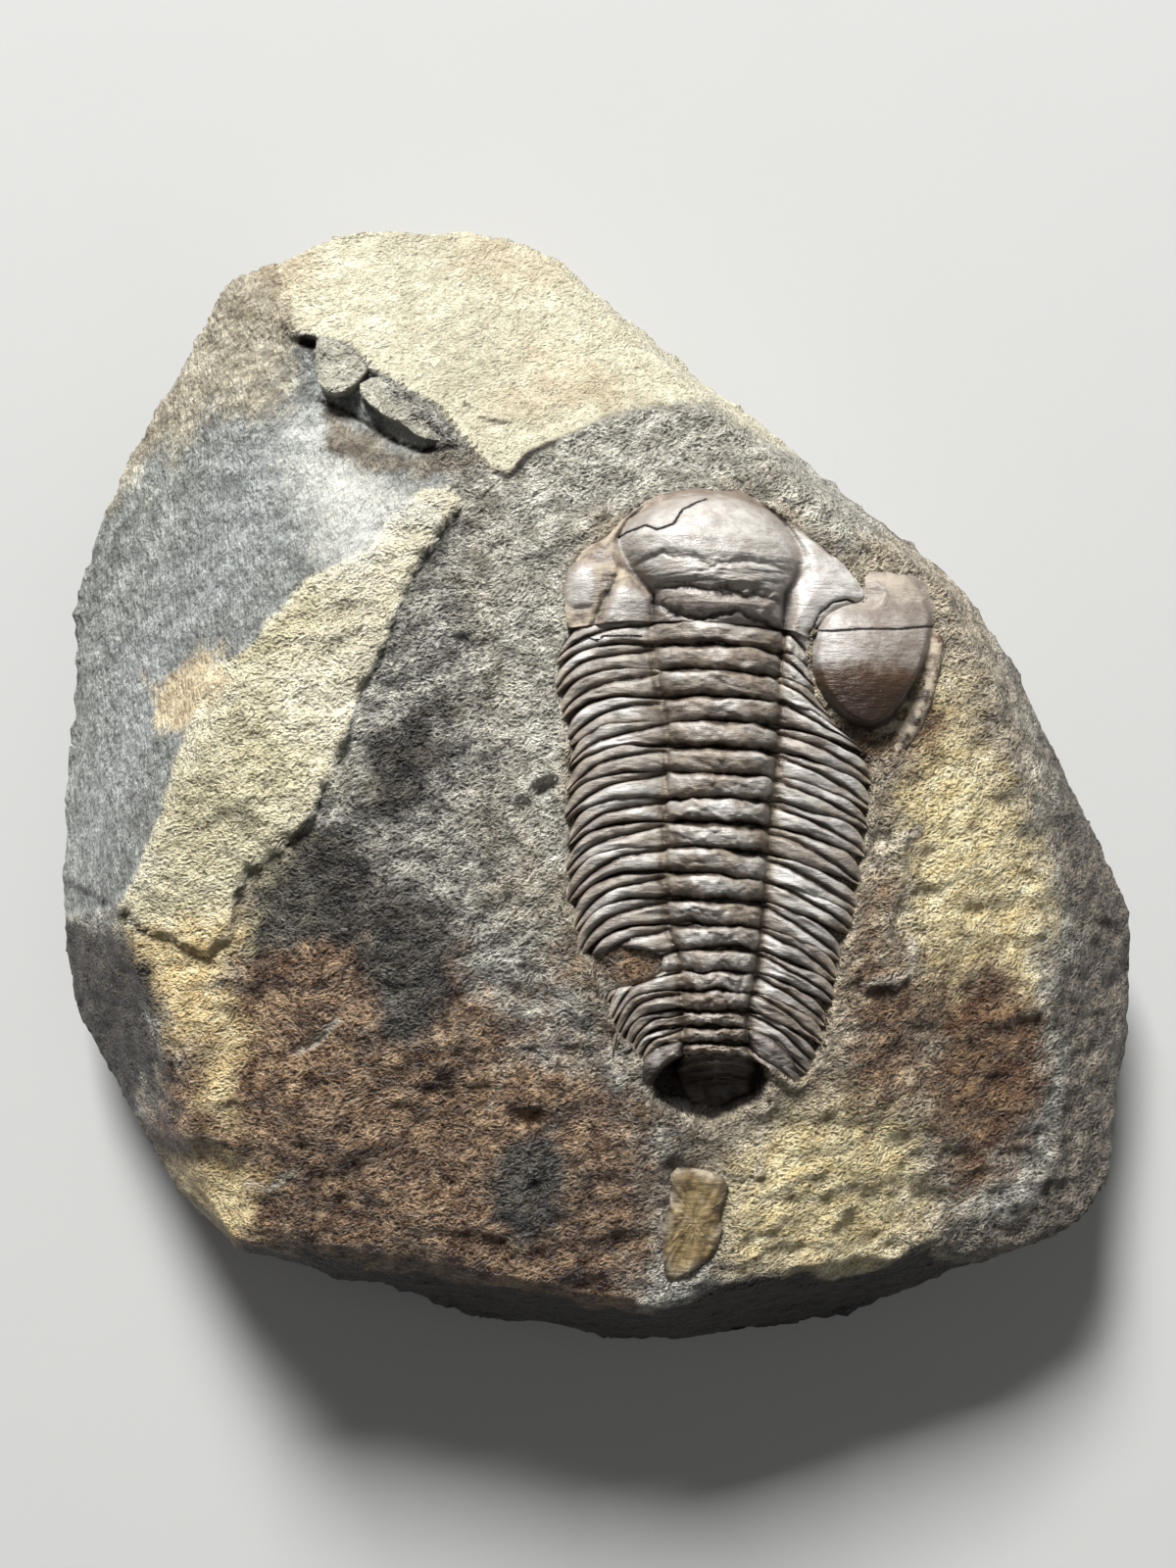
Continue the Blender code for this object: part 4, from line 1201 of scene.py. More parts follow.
@dataclass
class Thorax:
    """The nineteen overlapping segments, repeated by a node tree and bent to the body's plan."""

    plan: BodyPlan
    places_across: int = 121
    points_top: int = 18
    points_under: int = 3
    ring_relief: float = 1.6
    rib_relief: float = 1.5
    furrow_start: float = 0.2
    furrow_lean: float = 0.5
    thickness: float = 1.9
    taper: float = 0.7
    tip: float = 0.5
    overlap: float = 0.10
    lift: float = 0.25
    shift: float = 0.10
    rise: float = 0.16
    stretch: float = 0.03
    skew: float = 0.22
    broken_drop: float = 2.6
    seed: int = 7
    crack: Outline = path(-3.2, 18.6, -0.6, 19.8, 0.6, 19.3, 1.3, 20, 6.8, 20)
    ring_profile: Outline = path(0, 0, 0.07, 0.16, 0.14, 0.42, 0.21, 0.8, 0.3, 0.98, 0.42, 1, 0.6, 0.92,
                                 0.76, 0.78, 0.88, 0.5, 0.95, 0.2, 1, 0)
    band_profile: Outline = path(0, 0.05, 0.07, 0.55, 0.16, 0.92, 0.32, 1, 0.62, 0.95, 0.8, 0.8, 0.92, 0.42,
                                 1, 0)

    def tree(self) -> bpy.types.NodeTree:
        """Node tree: one closed segment, instanced down a line, realized and given its material.

        Returns:
            The tree, with its sizes as named inputs.
        """
        tree = bpy.data.node_groups.new("thorax_segments", "GeometryNodeTree")
        for name, kind in (("Segments", "Int"), ("Places Across", "Int"), ("Points Round", "Int"),
                           ("Top Share", "Float"), ("Ring Relief", "Float"), ("Rib Relief", "Float"),
                           ("Furrow Start", "Float"), ("Furrow Lean", "Float"), ("Thickness", "Float"),
                           ("Taper", "Float"), ("Tip", "Float"), ("Shell", "Material")):
            tree.interface.new_socket(name=name, in_out="INPUT", socket_type="NodeSocket" + kind)
        tree.interface.new_socket(name="Geometry", in_out="OUTPUT", socket_type="NodeSocketGeometry")
        board = NodeBoard(tree)
        given = board.add("NodeGroupInput").outputs
        grid = board.add("GeometryNodeMeshGrid", {"Size X": 4.0, "Size Y": 1.0,
                                                  "Vertices X": given["Places Across"],
                                                  "Vertices Y": given["Points Round"]})
        place = board.add("ShaderNodeSeparateXYZ", {0: board.add("GeometryNodeInputPosition").outputs[0]})
        across, turn = place.outputs[0], board.math("ADD", place.outputs[1], 0.5)
        top = board.math("DIVIDE", turn, given["Top Share"], clamp=True)
        rest = board.math("SUBTRACT", 1.0, given["Top Share"])
        under = board.math("DIVIDE", board.math("SUBTRACT", turn, given["Top Share"]), rest, clamp=True)
        phase = board.math("SUBTRACT", top, under)
        side = board.math("ABSOLUTE", across)
        out = board.math("SUBTRACT", side, 1.0, clamp=True)
        ring = board.step(side, 1.03, 0.93)
        ring_dip = board.math("SUBTRACT", 1.0, board.curve(phase, self.ring_profile))
        furrow = board.math("MULTIPLY_ADD", out, given["Furrow Lean"], given["Furrow Start"])
        behind = board.math("SUBTRACT", 1.0, furrow)
        front = board.curve(board.math("DIVIDE", phase, furrow, clamp=True), self.band_profile)
        rear = board.curve(board.math("DIVIDE", board.math("SUBTRACT", phase, furrow), behind, clamp=True),
                           self.band_profile)
        front = board.math("MULTIPLY", front, board.math("POWER", furrow, 0.35))
        rear = board.math("MULTIPLY", rear, board.math("POWER", behind, 0.35))
        rib_dip = board.math("SUBTRACT", 1.0, board.math("MAXIMUM", front, rear))
        dip = board.lerp(ring, board.math("MULTIPLY", rib_dip, given["Rib Relief"]),
                         board.math("MULTIPLY", ring_dip, given["Ring Relief"]))
        below = board.math("MULTIPLY", board.math("MULTIPLY", under, 8.0, clamp=True), board.math(
            "MULTIPLY", board.math("SUBTRACT", 1.0, under), 8.0, clamp=True))
        depth = board.lerp(below, dip, given["Thickness"])
        ending = board.math("DIVIDE", board.math("SUBTRACT", out, given["Taper"]),
                            board.math("SUBTRACT", 1.0, given["Taper"]), clamp=True)
        blunt = board.math("POWER", board.math("SUBTRACT", 1.0, board.math("POWER", ending, 8.0)), 0.5)
        narrowing = board.math("MULTIPLY", given["Tip"], board.math("POWER", ending, 2.0))
        narrow = board.math("SUBTRACT", 1.0, narrowing)
        width = board.math("MULTIPLY", narrow, blunt)
        depth = board.math("MULTIPLY", depth, blunt)
        back = board.math("SUBTRACT", 0.9, board.math("MULTIPLY", board.math("SUBTRACT", 0.9, phase), width))
        spot = board.add("ShaderNodeCombineXYZ", {0: across, 1: board.math("MULTIPLY", back, -1.0),
                                                  2: board.math("MULTIPLY", depth, -1.0)})
        moved = board.add("GeometryNodeSetPosition", {"Geometry": grid.outputs["Mesh"],
                                                      "Position": spot.outputs[0]})
        joined = board.add("GeometryNodeMergeByDistance", {"Geometry": moved.outputs[0], "Distance": 0.0005})
        turned = board.add("GeometryNodeFlipFaces", {"Mesh": joined.outputs[0]})
        line = board.add("GeometryNodeMeshLine", {"Count": given["Segments"], "Offset": (0.0, -1.0, 0.0)})
        counted = board.add("GeometryNodeStoreNamedAttribute", {
            "Geometry": line.outputs[0], "Name": "segment",
            "Value": board.add("GeometryNodeInputIndex").outputs[0]}, data_type="FLOAT", domain="POINT")
        copies = board.add("GeometryNodeInstanceOnPoints", {"Points": counted.outputs[0],
                                                            "Instance": turned.outputs[0]})
        real = board.add("GeometryNodeRealizeInstances", {"Geometry": copies.outputs[0]})
        dressed = board.add("GeometryNodeSetMaterial", {"Geometry": real.outputs[0],
                                                        "Material": given["Shell"]})
        board.add("NodeGroupOutput", {"Geometry": dressed.outputs[0]})
        return tree

    def repeat(self, shell: bpy.types.Material) -> bpy.types.Mesh:
        """Run the node tree and keep its result as a plain mesh.

        Args:
            shell: the material that the tree sets.

        Returns:
            The straight row of segments.
        """
        carrier = make_object("thorax_carrier", bpy.data.meshes.new("thorax_carrier"))
        modifier = carrier.modifiers.new("segments", "NODES")
        modifier.node_group = tree = self.tree()
        values = {"Segments": self.plan.segments, "Places Across": self.places_across,
                  "Points Round": self.points_top + self.points_under + 1,
                  "Top Share": self.points_top / (self.points_top + self.points_under),
                  "Ring Relief": self.ring_relief, "Rib Relief": self.rib_relief,
                  "Furrow Start": self.furrow_start, "Furrow Lean": self.furrow_lean,
                  "Thickness": self.thickness, "Taper": self.taper, "Tip": self.tip, "Shell": shell}
        for item in tree.interface.items_tree:
            if item.name in values:
                modifier[item.identifier] = values[item.name]
        mesh = evaluated_mesh(carrier)
        bpy.data.objects.remove(carrier)
        return mesh

    def bend(self, mesh: bpy.types.Mesh) -> None:
        """Lay the straight row of segments on the body's plan and age each one a little.

        Args:
            mesh: the row, which is changed.
        """
        number = np.empty(len(mesh.vertices), np.float32)
        mesh.attributes["segment"].data.foreach_get("value", number)
        number = np.rint(number).astype(int)
        across, back, depth = (read_points(mesh) * MM).T
        phase = -back - number
        chance = np.random.default_rng(self.seed)
        count = self.plan.segments
        start = self.plan.starts() + chance.normal(0.0, self.shift, count)
        raised = chance.normal(0.0, self.rise, count)
        reach = 1.0 + chance.normal(0.0, self.stretch, (2, count))
        skew = chance.normal(0.0, self.skew, count)
        pitch = self.plan.pitches() * (1.0 + self.overlap)
        along = start[number] - phase * pitch[number]
        own_reach = np.where(across > 0.0, reach[1][number], reach[0][number])
        beyond = np.sign(across) * (1.0 + (np.abs(across) - 1.0) * own_reach)
        spread = np.where(np.abs(across) > 1.0, beyond, across)
        cells = np.column_stack((across * 2.2, number * 3.7 + phase * 0.8, phase * 1.5))
        x, y = self.plan.place(along, spread)
        out = np.clip(np.abs(across) - 1.0, 0.0, 1.0)
        y = y + 0.36 * fractal(cells, 4, 0.55, 51) + 0.45 * np.clip(1.0 - across ** 2, 0.0, 1.0)
        y = y + skew[number] * np.clip(across, -1.0, 1.0)
        above = self.plan.envelope(along, across) + depth
        above += (raised[number] + self.lift * (phase - 0.6)) * (1.0 - out ** 3)
        above += 0.30 * fractal(cells * np.array((1.6, 1.0, 2.0)), 4, 0.6, 61)
        side = np.abs(across + 0.03 * fractal(np.column_stack((x, y, x)) * 0.6, 3, 0.6, 57))
        above += 0.4 * bump(side - 0.8, 0.13) * (1.0 + depth) - 0.5 * bump(side - 1.02, 0.075)
        broken = smoothstep(-0.3, 0.7, outline_distance(x, y, self.plan.left_gap))
        above -= self.broken_drop * broken
        write_points(mesh, np.column_stack((x, y, self.plan.crown.height(x, y) + above)))
        mesh.attributes.remove(mesh.attributes["segment"])
        # crest: 1 on the crests, falling to 0 in the grooves and along the axial furrows, where the shell is
        # painted into shade
        relief = np.clip(1.0 + depth / (0.75 * self.ring_relief), 0.0, 1.0)
        relief = relief * (1.0 - 0.6 * bump(side - 1.02, 0.06))
        store(mesh, "crest", relief)
        worn = np.clip(0.5 + 0.9 * fractal(cells * 0.9, 4, 0.65, 66), 0.0, 1.0)
        on_ribs = (0.4 + 0.9 * worn) * (1.0 - 0.6 * smoothstep(0.7, 0.95, out))
        kept = np.where(side < 1.0, 0.15 + 0.75 * worn, on_ribs)
        kept = kept * (1.0 - 0.45 * smoothstep(-20.0, -34.0, y))
        # silvery coat and painted sheen on the crests, less at the rib tips and towards the tail
        store(mesh, "film_and_sheen", smoothstep(0.4, np.where(side < 1.0, 0.9, 0.8), relief) * kept)
        dust = 0.75 * bump(side - 1.03, 0.10) * worn + 0.8 * smoothstep(0.76, 0.96, out)
        store(mesh, "dusty", np.maximum(dust, 0.35 * (1.0 - worn)))
        store(mesh, "crack", line_distance(x, y, self.crack))

    def build(self, shell: bpy.types.Material) -> None:
        """Make the thorax.

        Args:
            shell: its material.
        """
        mesh = self.repeat(shell)
        self.bend(mesh)
        finish_piece("thorax", mesh, ("trilobite",))


@dataclass
class HeadShield:
    """The cranidium: swollen glabella, fixed cheeks, thin front rim and occipital ring."""

    plan: BodyPlan
    middle: tuple[float, float] = (16.5, 29.5)
    spacing: float = 0.3
    rings: int = 72
    skirt: float = 1.6
    furrow_depths: tuple[float, float] = (1.0, 1.5)
    glabella: Outline = path(3.2, 32.9, 4.6, 36.2, 7.9, 38, 12.5, 39.3, 17.2, 39.6, 21.8, 39, 25.2, 37.4,
                             27.4, 34.5, 28.5, 31.8, 28.1, 29.1, 26.3, 26, 26, 21.2, 8.2, 21.2, 8.2, 25.8,
                             5.2, 28.9)
    furrows: tuple[Outline, ...] = (path(8.6, 26.8, 12.5, 26.2, 17, 26.1, 21.5, 25.8, 25.2, 25.2),
                                    path(8.4, 24.4, 10.4, 23.6, 12.6, 22.6, 18.9, 22.7, 24.5, 21.4))
    fold: Outline = path(5.9, 29.3, 9.2, 30.6, 13.8, 30.3, 16, 29.4, 21.5, 29.9, 26.5, 29)
    strut: Outline = path(29.4, 30.4, 26.4, 27, 22.6, 22.8)
    rim: Outline = path(1.6, 32.6, 4.7, 37, 9.5, 39.6, 17.5, 40.5, 25, 38.2, 31, 33.9, 36, 29.6)
    crack: Outline = path(3.5, 33.7, 4.6, 34.3, 5.9, 34.6, 7, 35, 7.7, 34.7, 8.6, 34.2, 9.3, 34.4,
                          10.8, 34.9, 11.3, 35.7, 12.1, 37.1, 13, 37.5, 13.9, 38.1, 15.5, 38.8)
    right_crack: Outline = path(29.7, 20.4, 30.1, 21.4, 31, 23.4, 32.9, 24.9, 34.9, 25.4, 36.5, 24.8,
                                37.6, 24.9, 38, 27, 36.6, 29, 35.2, 30.6)
    left_lobe: Outline = path(-4, 26.5, -3.6, 29, -1.8, 30, 0.1, 29.6, 0.4, 26.5, -0.3, 24, -2.7, 23.7,
                              -3.9, 24.9)
    left_groove: Outline = path(3.4, 29.4, 2.6, 27.3, 0.9, 24.2, -0.3, 21.6)
    left_field: Outline = path(2.9, 26.9, 5.7, 26.8, 7.4, 25.3, 7.7, 23.9, 6.8, 21.4, 1.4, 22, 2.4, 25.5)
    left_knob: Outline = path(7.7, 25.5, 9.8, 25.3, 9.7, 22.7, 8, 22.7)

    def outline(self) -> Array:
        """The head's outline, out along the left, round the front and back along the right.

        Returns:
            Its points as rows of x, y.
        """
        rows = [row for row in self.plan.stations if row[0] > 22.0]
        front = [self.plan.place(np.array(y), np.array(2.0)) for y, *_ in rows]
        left = [self.plan.place(np.array(y), np.array(-2.0)) for y, *_ in reversed(rows)]
        rear_y = np.array(self.plan.thorax_front - 0.5)
        stops = (1.8, 1.4, 1.0, 0.5, 0.0, -0.5, -1.0, -1.4, -1.8)
        rear = [self.plan.place(rear_y, np.array(stop)) for stop in stops]
        points = tuple((float(x), float(y)) for x, y in front + rear + left)
        return even_outline(points, self.spacing, 1)

    def waver(self, x: Array, y: Array) -> Array:
        """How far the furrows stray from their lines."""
        return 0.6 * fractal(on_plan(x, y) * 0.4, 4, 0.6, 73)

    def height(self, x: Array, y: Array) -> Array:
        """Height of the head's surface at x, y.

        Args:
            x, y: the places.

        Returns:
            One height for each place.
        """
        along, across = self.plan.find(x, y)
        flat = on_plan(x, y)
        z = self.plan.envelope(along, across)
        glabella = outline_distance(x, y, self.glabella)
        waver = self.waver(x, y)
        deeper = 0.25 + 0.6 * smoothstep(32.0, 27.0, y)
        z = z + 0.7 * smoothstep(0.0, 3.0, glabella) - deeper * bump(glabella, 0.6)
        for furrow, depth in zip(self.furrows, self.furrow_depths):
            z -= depth * (0.55 + 0.5 * waver) * bump(line_distance(x, y + waver, furrow), 0.45)
        inner = smoothstep(0.0, 1.6, glabella)
        z += 0.8 * inner * bump(y - 26.9, 1.9)
        z -= 0.42 * inner * bump(line_distance(x, y + waver, self.fold), 0.5)
        folds = inner * bump(y - 27.6, 2.6)
        z += 0.30 * folds * fractal(flat * np.array((0.16, 1.1, 1.0)), 4, 0.55, 71)
        z += 0.45 * bump(line_distance(x + waver, y, self.strut), 0.55)
        z += 0.40 * bump(line_distance(x, y, self.rim), 0.45)
        z += 0.45 * smoothstep(-0.8, 2.2, outline_distance(x, y, self.left_lobe))
        z -= 0.35 * bump(line_distance(x, y, self.left_lobe[-3:]), 0.35)
        z -= 0.6 * bump(line_distance(x + waver, y, self.left_groove), 0.55)
        z += 0.35 * smoothstep(-0.6, 1.4, outline_distance(x, y, self.left_field))
        z += 0.5 * smoothstep(-0.2, 0.9, outline_distance(x, y, self.left_knob))
        z -= 0.35 * bump(self.crack_distance(x, y), 0.18)
        z += 0.12 * fractal(flat * np.array((0.5, 0.8, 1.0)), 5, 0.55, 81)
        margin = self.plan.margin(x, y, along, across)
        z = np.where(margin < 1.0, np.minimum(z, 0.35 + 1.4 * np.maximum(margin, 0.0)), z)
        return self.plan.crown.height(x, y) + z

    def crack_distance(self, x: Array, y: Array) -> Array:
        """Distance to the nearest crack."""
        return np.minimum(line_distance(x, y, self.crack), line_distance(x, y, self.right_crack))

    def build(self, shell: bpy.types.Material) -> None:
        """Make the head.

        Args:
            shell: its material.
        """
        plate = DomedPlate("head", self.outline(), self.middle, self.rings, self.height, self.skirt)
        mesh = plate.build()
        x, y, _ = read_points(mesh).T
        glabella = outline_distance(x, y, self.glabella)
        waver = self.waver(x, y)
        grooves = np.max([bump(line_distance(x, y + waver, furrow), 0.4) for furrow in self.furrows], axis=0)
        grooves = np.maximum(grooves, bump(glabella, 0.4) * smoothstep(32.0, 27.0, y))
        grooves = np.maximum(grooves, bump(line_distance(x, y, self.left_groove), 0.6))
        # painted shade in the furrows and round the back of the glabella
        store(mesh, "crest", np.clip(1.0 - grooves, 0.0, 1.0))
        # silvery coat and painted sheen, brightest on the front of the glabella, less in the grooves
        film_and_sheen = 0.45 + 0.4 * smoothstep(0.0, 3.0, glabella) * smoothstep(25.0, 29.0, y)
        film_and_sheen = np.maximum(film_and_sheen, smoothstep(-0.5, 1.0, outline_distance(x, y, self.left_lobe)))
        film_and_sheen = np.maximum(film_and_sheen, 0.9 * smoothstep(-0.5, 0.8, outline_distance(x, y, self.left_field)))
        film_and_sheen = np.maximum(film_and_sheen, (x > 28.0) * smoothstep(0.5, -1.5, glabella))
        border = smoothstep(1.1, 0.5, line_distance(x, y, self.rim)) * (x < 33.0)
        patches = (self.left_lobe, self.left_field, self.left_knob)
        bare = np.max([outline_distance(x, y, patch) for patch in patches], axis=0)
        matrix = (x < 9.5) * smoothstep(0.6, -0.9, bare) * smoothstep(0.3, -0.8, glabella)
        store(mesh, "film_and_sheen", film_and_sheen * (1.0 - 0.85 * grooves) * (1.0 - 0.8 * border) * (1.0 - 0.8 * matrix))
        in_groove = 0.8 * (x < 8.0) * bump(line_distance(x, y, self.left_groove), 1.2)
        store(mesh, "dusty", np.maximum(matrix, in_groove))
        store(mesh, "crack", self.crack_distance(x, y))
        finish_piece("head", mesh, ("trilobite",), shell)


@dataclass
class TailPlate:
    """The small plate in the dark hollow at the tail, with the rounded lobe on each side of it."""

    plan: BodyPlan
    lobes: tuple[Outline, ...] = (
        path(12.4, -35, 9.6, -35.3, 6.8, -37.2, 5.4, -40, 5.9, -42.2, 7.6, -42.3, 8.8, -40.2, 10.4, -38.3,
             12.4, -37.2),
        path(21, -33.2, 24.2, -34.2, 27, -36.8, 28.6, -39.6, 28, -41.6, 26.2, -41.4, 24, -38.8, 21.4, -36.4))
    outline: Outline = path(11.4, -39.6, 12.2, -37, 14.6, -36.2, 19.6, -36.2, 22.2, -37.4, 23, -40.2,
                            22.2, -43.4, 19.4, -44.8, 16.4, -45.9, 13.4, -44.6, 12, -42.4)
    middle: tuple[float, float] = (17.0, -40.6)
    rings: int = 16
    lobe_rings: int = 12
    skirt: float = 1.2
    lobe_skirt: float = 2.0
    # how much silvery coat and painted sheen the tail plate and its lobes keep at their fronts
    film_and_sheen: float = 0.15
    lobe_film_and_sheen: float = 0.4
    dusty: float = 0.1

    def height(self, x: Array, y: Array) -> Array:
        """Height of the plate's surface at x, y.

        Args:
            x, y: the places.

        Returns:
            One height for each place.
        """
        rise = np.clip(outline_distance(x, y, self.outline) / 2.2, 0.0, 1.0)
        fall = smoothstep(-42.4, -36.2, y)
        off = x - self.middle[0]
        z = -4.0 + np.sqrt(rise * (2.0 - rise)) + 4.9 * fall - 0.06 * fall * off ** 2
        z += 0.7 * bump(off + 0.4, 1.6) * smoothstep(-45.0, -41.0, y)
        arch = y + 0.05 * off ** 2
        z += 0.5 * smoothstep(-42.0, -39.0, y) * np.cos((arch + 38.0) * 3.9) - 0.5 * bump(arch + 40.6, 0.35)
        z += 0.25 * fractal(on_plan(x, y) * 0.7, 3, 0.6, 97)
        return self.plan.crown.height(x, y) + z

    def lobe_height(self, outline: Outline) -> Callable[[Array, Array], Array]:
        """The height function of one side lobe.

        Args:
            outline: the lobe's outline.

        Returns:
            A function that gives z at x, y.
        """
        def height(x: Array, y: Array) -> Array:
            """Height of the lobe's surface at x, y.

            Args:
                x, y: the places.

            Returns:
                One height for each place.
            """
            rise = np.clip(outline_distance(x, y, outline) / 1.3, 0.0, 1.0)
            spots = on_plan(x, y)
            z = 0.5 + 1.2 * np.sqrt(np.maximum(rise * (2.0 - rise), 0.0))
            z += 0.3 * fractal(spots * 0.8, 3, 0.6, 95)
            return self.plan.crown.height(x, y) + z - 1.2 * smoothstep(-37.5, -41.5, y)
        return height

    def dress(self, plate: DomedPlate, lit: float, shell: bpy.types.Material) -> None:
        """Make one plate of the tail, painted into shade towards its rear end, deep in the hollow.

        Args:
            plate: its name and shape.
            lit: how much of the silvery coat and painted sheen is kept at its lit front.
            shell: its material.
        """
        mesh = plate.build()
        x, y, _ = read_points(mesh).T
        front = smoothstep(-42.0, -36.5, y)
        edge = outline_distance(x, y, tuple(map(tuple, plate.outline)))
        # painted shade and light: each plate darkens towards its rear, deep in the hollow, and keeps silvery
        # coat and painted sheen only at its front
        store(mesh, "crest", (0.12 + 0.6 * front) * smoothstep(0.0, 1.0, edge))
        store(mesh, "film_and_sheen", lit * front * smoothstep(0.2, 1.0, edge))
        store(mesh, "dusty", self.dusty)
        store(mesh, "crack", NO_CRACK)
        finish_piece(plate.name, mesh, ("trilobite",), shell)

    def build(self, shell: bpy.types.Material) -> None:
        """Make the tail plate and its side lobes.

        Args:
            shell: their material.
        """
        rim = even_outline(self.outline, EDGE_SPACING)
        plate = DomedPlate("tail_plate", rim, self.middle, self.rings, self.height, self.skirt)
        self.dress(plate, self.film_and_sheen, shell)
        for side, outline in zip(("left", "right"), self.lobes):
            middle = tuple(np.mean(outline, axis=0))
            rim = even_outline(outline, EDGE_SPACING)
            lobe = DomedPlate(f"tail_lobe_{side}", rim, middle, self.lobe_rings, self.lobe_height(outline),
                              self.lobe_skirt)
            self.dress(lobe, self.lobe_film_and_sheen, shell)


@dataclass
class FreeCheek:
    """The loose cheek: a swollen lobe with a border strap that runs into the stump of its spine."""

    plan: BodyPlan
    outline: Outline = path(29.7, 19.3, 29.9, 14.6, 31.9, 10.6, 35, 7.3, 37.8, 4.5, 40.1, 2.3, 42.9, 3.4,
                            45.8, 8.1, 47.9, 13.5, 48.9, 19, 48.5, 23.7, 47.6, 27, 45, 29, 41.6, 30,
                            38.6, 29.6, 37, 28, 37.6, 25.2, 34.4, 25.5, 31.4, 23.8)
    lobe: Outline = path(29.6, 19.3, 29.8, 14.6, 31.9, 10.6, 34.8, 8, 38.1, 6.9, 41.4, 8.8, 44.4, 13,
                         46.6, 18.2, 47.6, 24, 46.4, 29, 42, 32, 34, 32, 28.6, 26)
    strap: Outline = path(48.1, 19.6, 46.8, 13.2, 44.4, 8.2, 40.9, 3.2)
    crack: Outline = path(29, 21.1, 32.5, 20.8, 36.5, 21.1, 42, 21.2, 48.3, 22)
    middle: tuple[float, float] = (38.9, 17.6)
    dome: tuple[float, float] = (38.7, 16.6)
    dome_radii: tuple[float, float] = (10.4, 13.6)
    # painted light: above this level the cheek is painted lit and silvery, below it painted into shade
    dark_line: float = 16.6
    spacing: float = 0.25
    rings: int = 44
    skirt: float = 1.6

    def height(self, x: Array, y: Array) -> Array:
        """Height of the cheek's surface at x, y.

        Args:
            x, y: the places.

        Returns:
            One height for each place.
        """
        (cx, cy), (rx, ry) = self.dome, self.dome_radii
        round_off = np.maximum(1.0 - ((x - cx) / rx) ** 2 - ((y - cy) / ry) ** 2, 0.0)
        top = smoothstep(19.0, 27.0, y)
        swell = smoothstep(-0.3, 1.3, outline_distance(x, y, rounded(self.lobe))) * (1.0 - 0.35 * top)
        z = 0.3 + swell * (0.5 + 3.9 * round_off ** 0.6) + bump(line_distance(x, y, self.strap), 1.3)
        z -= 0.22 * bump(line_distance(x, y, self.crack), 0.2)
        z += 0.05 * fractal(on_plan(x, y) * 1.1, 3, 0.6, 91)
        edge = outline_distance(x, y, rounded(self.outline))
        rim = 0.5 - 0.1 * top + (2.6 - 2.0 * top) * np.maximum(edge, 0.0)
        return self.plan.crown.height(x, y) + np.minimum(z, rim)

    def build(self, shell: bpy.types.Material) -> None:
        """Make the free cheek.

        Args:
            shell: its material.
        """
        rim = even_outline(self.outline, self.spacing)
        mesh = DomedPlate("cheek", rim, self.middle, self.rings, self.height, self.skirt).build()
        x, y, _ = read_points(mesh).T
        lobe = outline_distance(x, y, self.lobe)
        spots = on_plan(x, y)
        level = y + 1.6 * fractal(spots * 0.35, 4, 0.6, 93)
        # painted shade: the cheek's lower half, turned away from the light, is painted dark
        store(mesh, "crest", 0.12 + 0.78 * smoothstep(12.0, 19.0, level) - 0.3 * bump(lobe, 0.5))
        # painted highlight: the upper part, facing the light, takes a silvery sheen
        bright = smoothstep(self.dark_line - 1.0, self.dark_line + 1.8, level)
        on_strap = smoothstep(0.4, -0.4, lobe)
        top_sheen = bright * (0.45 + 0.4 * smoothstep(38.0, 32.0, x))
        store(mesh, "film_and_sheen", top_sheen * (1.0 - on_strap))
        store(mesh, "dusty", np.maximum(1.4 * on_strap, 0.6 * smoothstep(22.0, 28.0, y)))
        store(mesh, "crack", line_distance(x, y, self.crack))
        finish_piece("cheek", mesh, ("free_cheek",), shell)


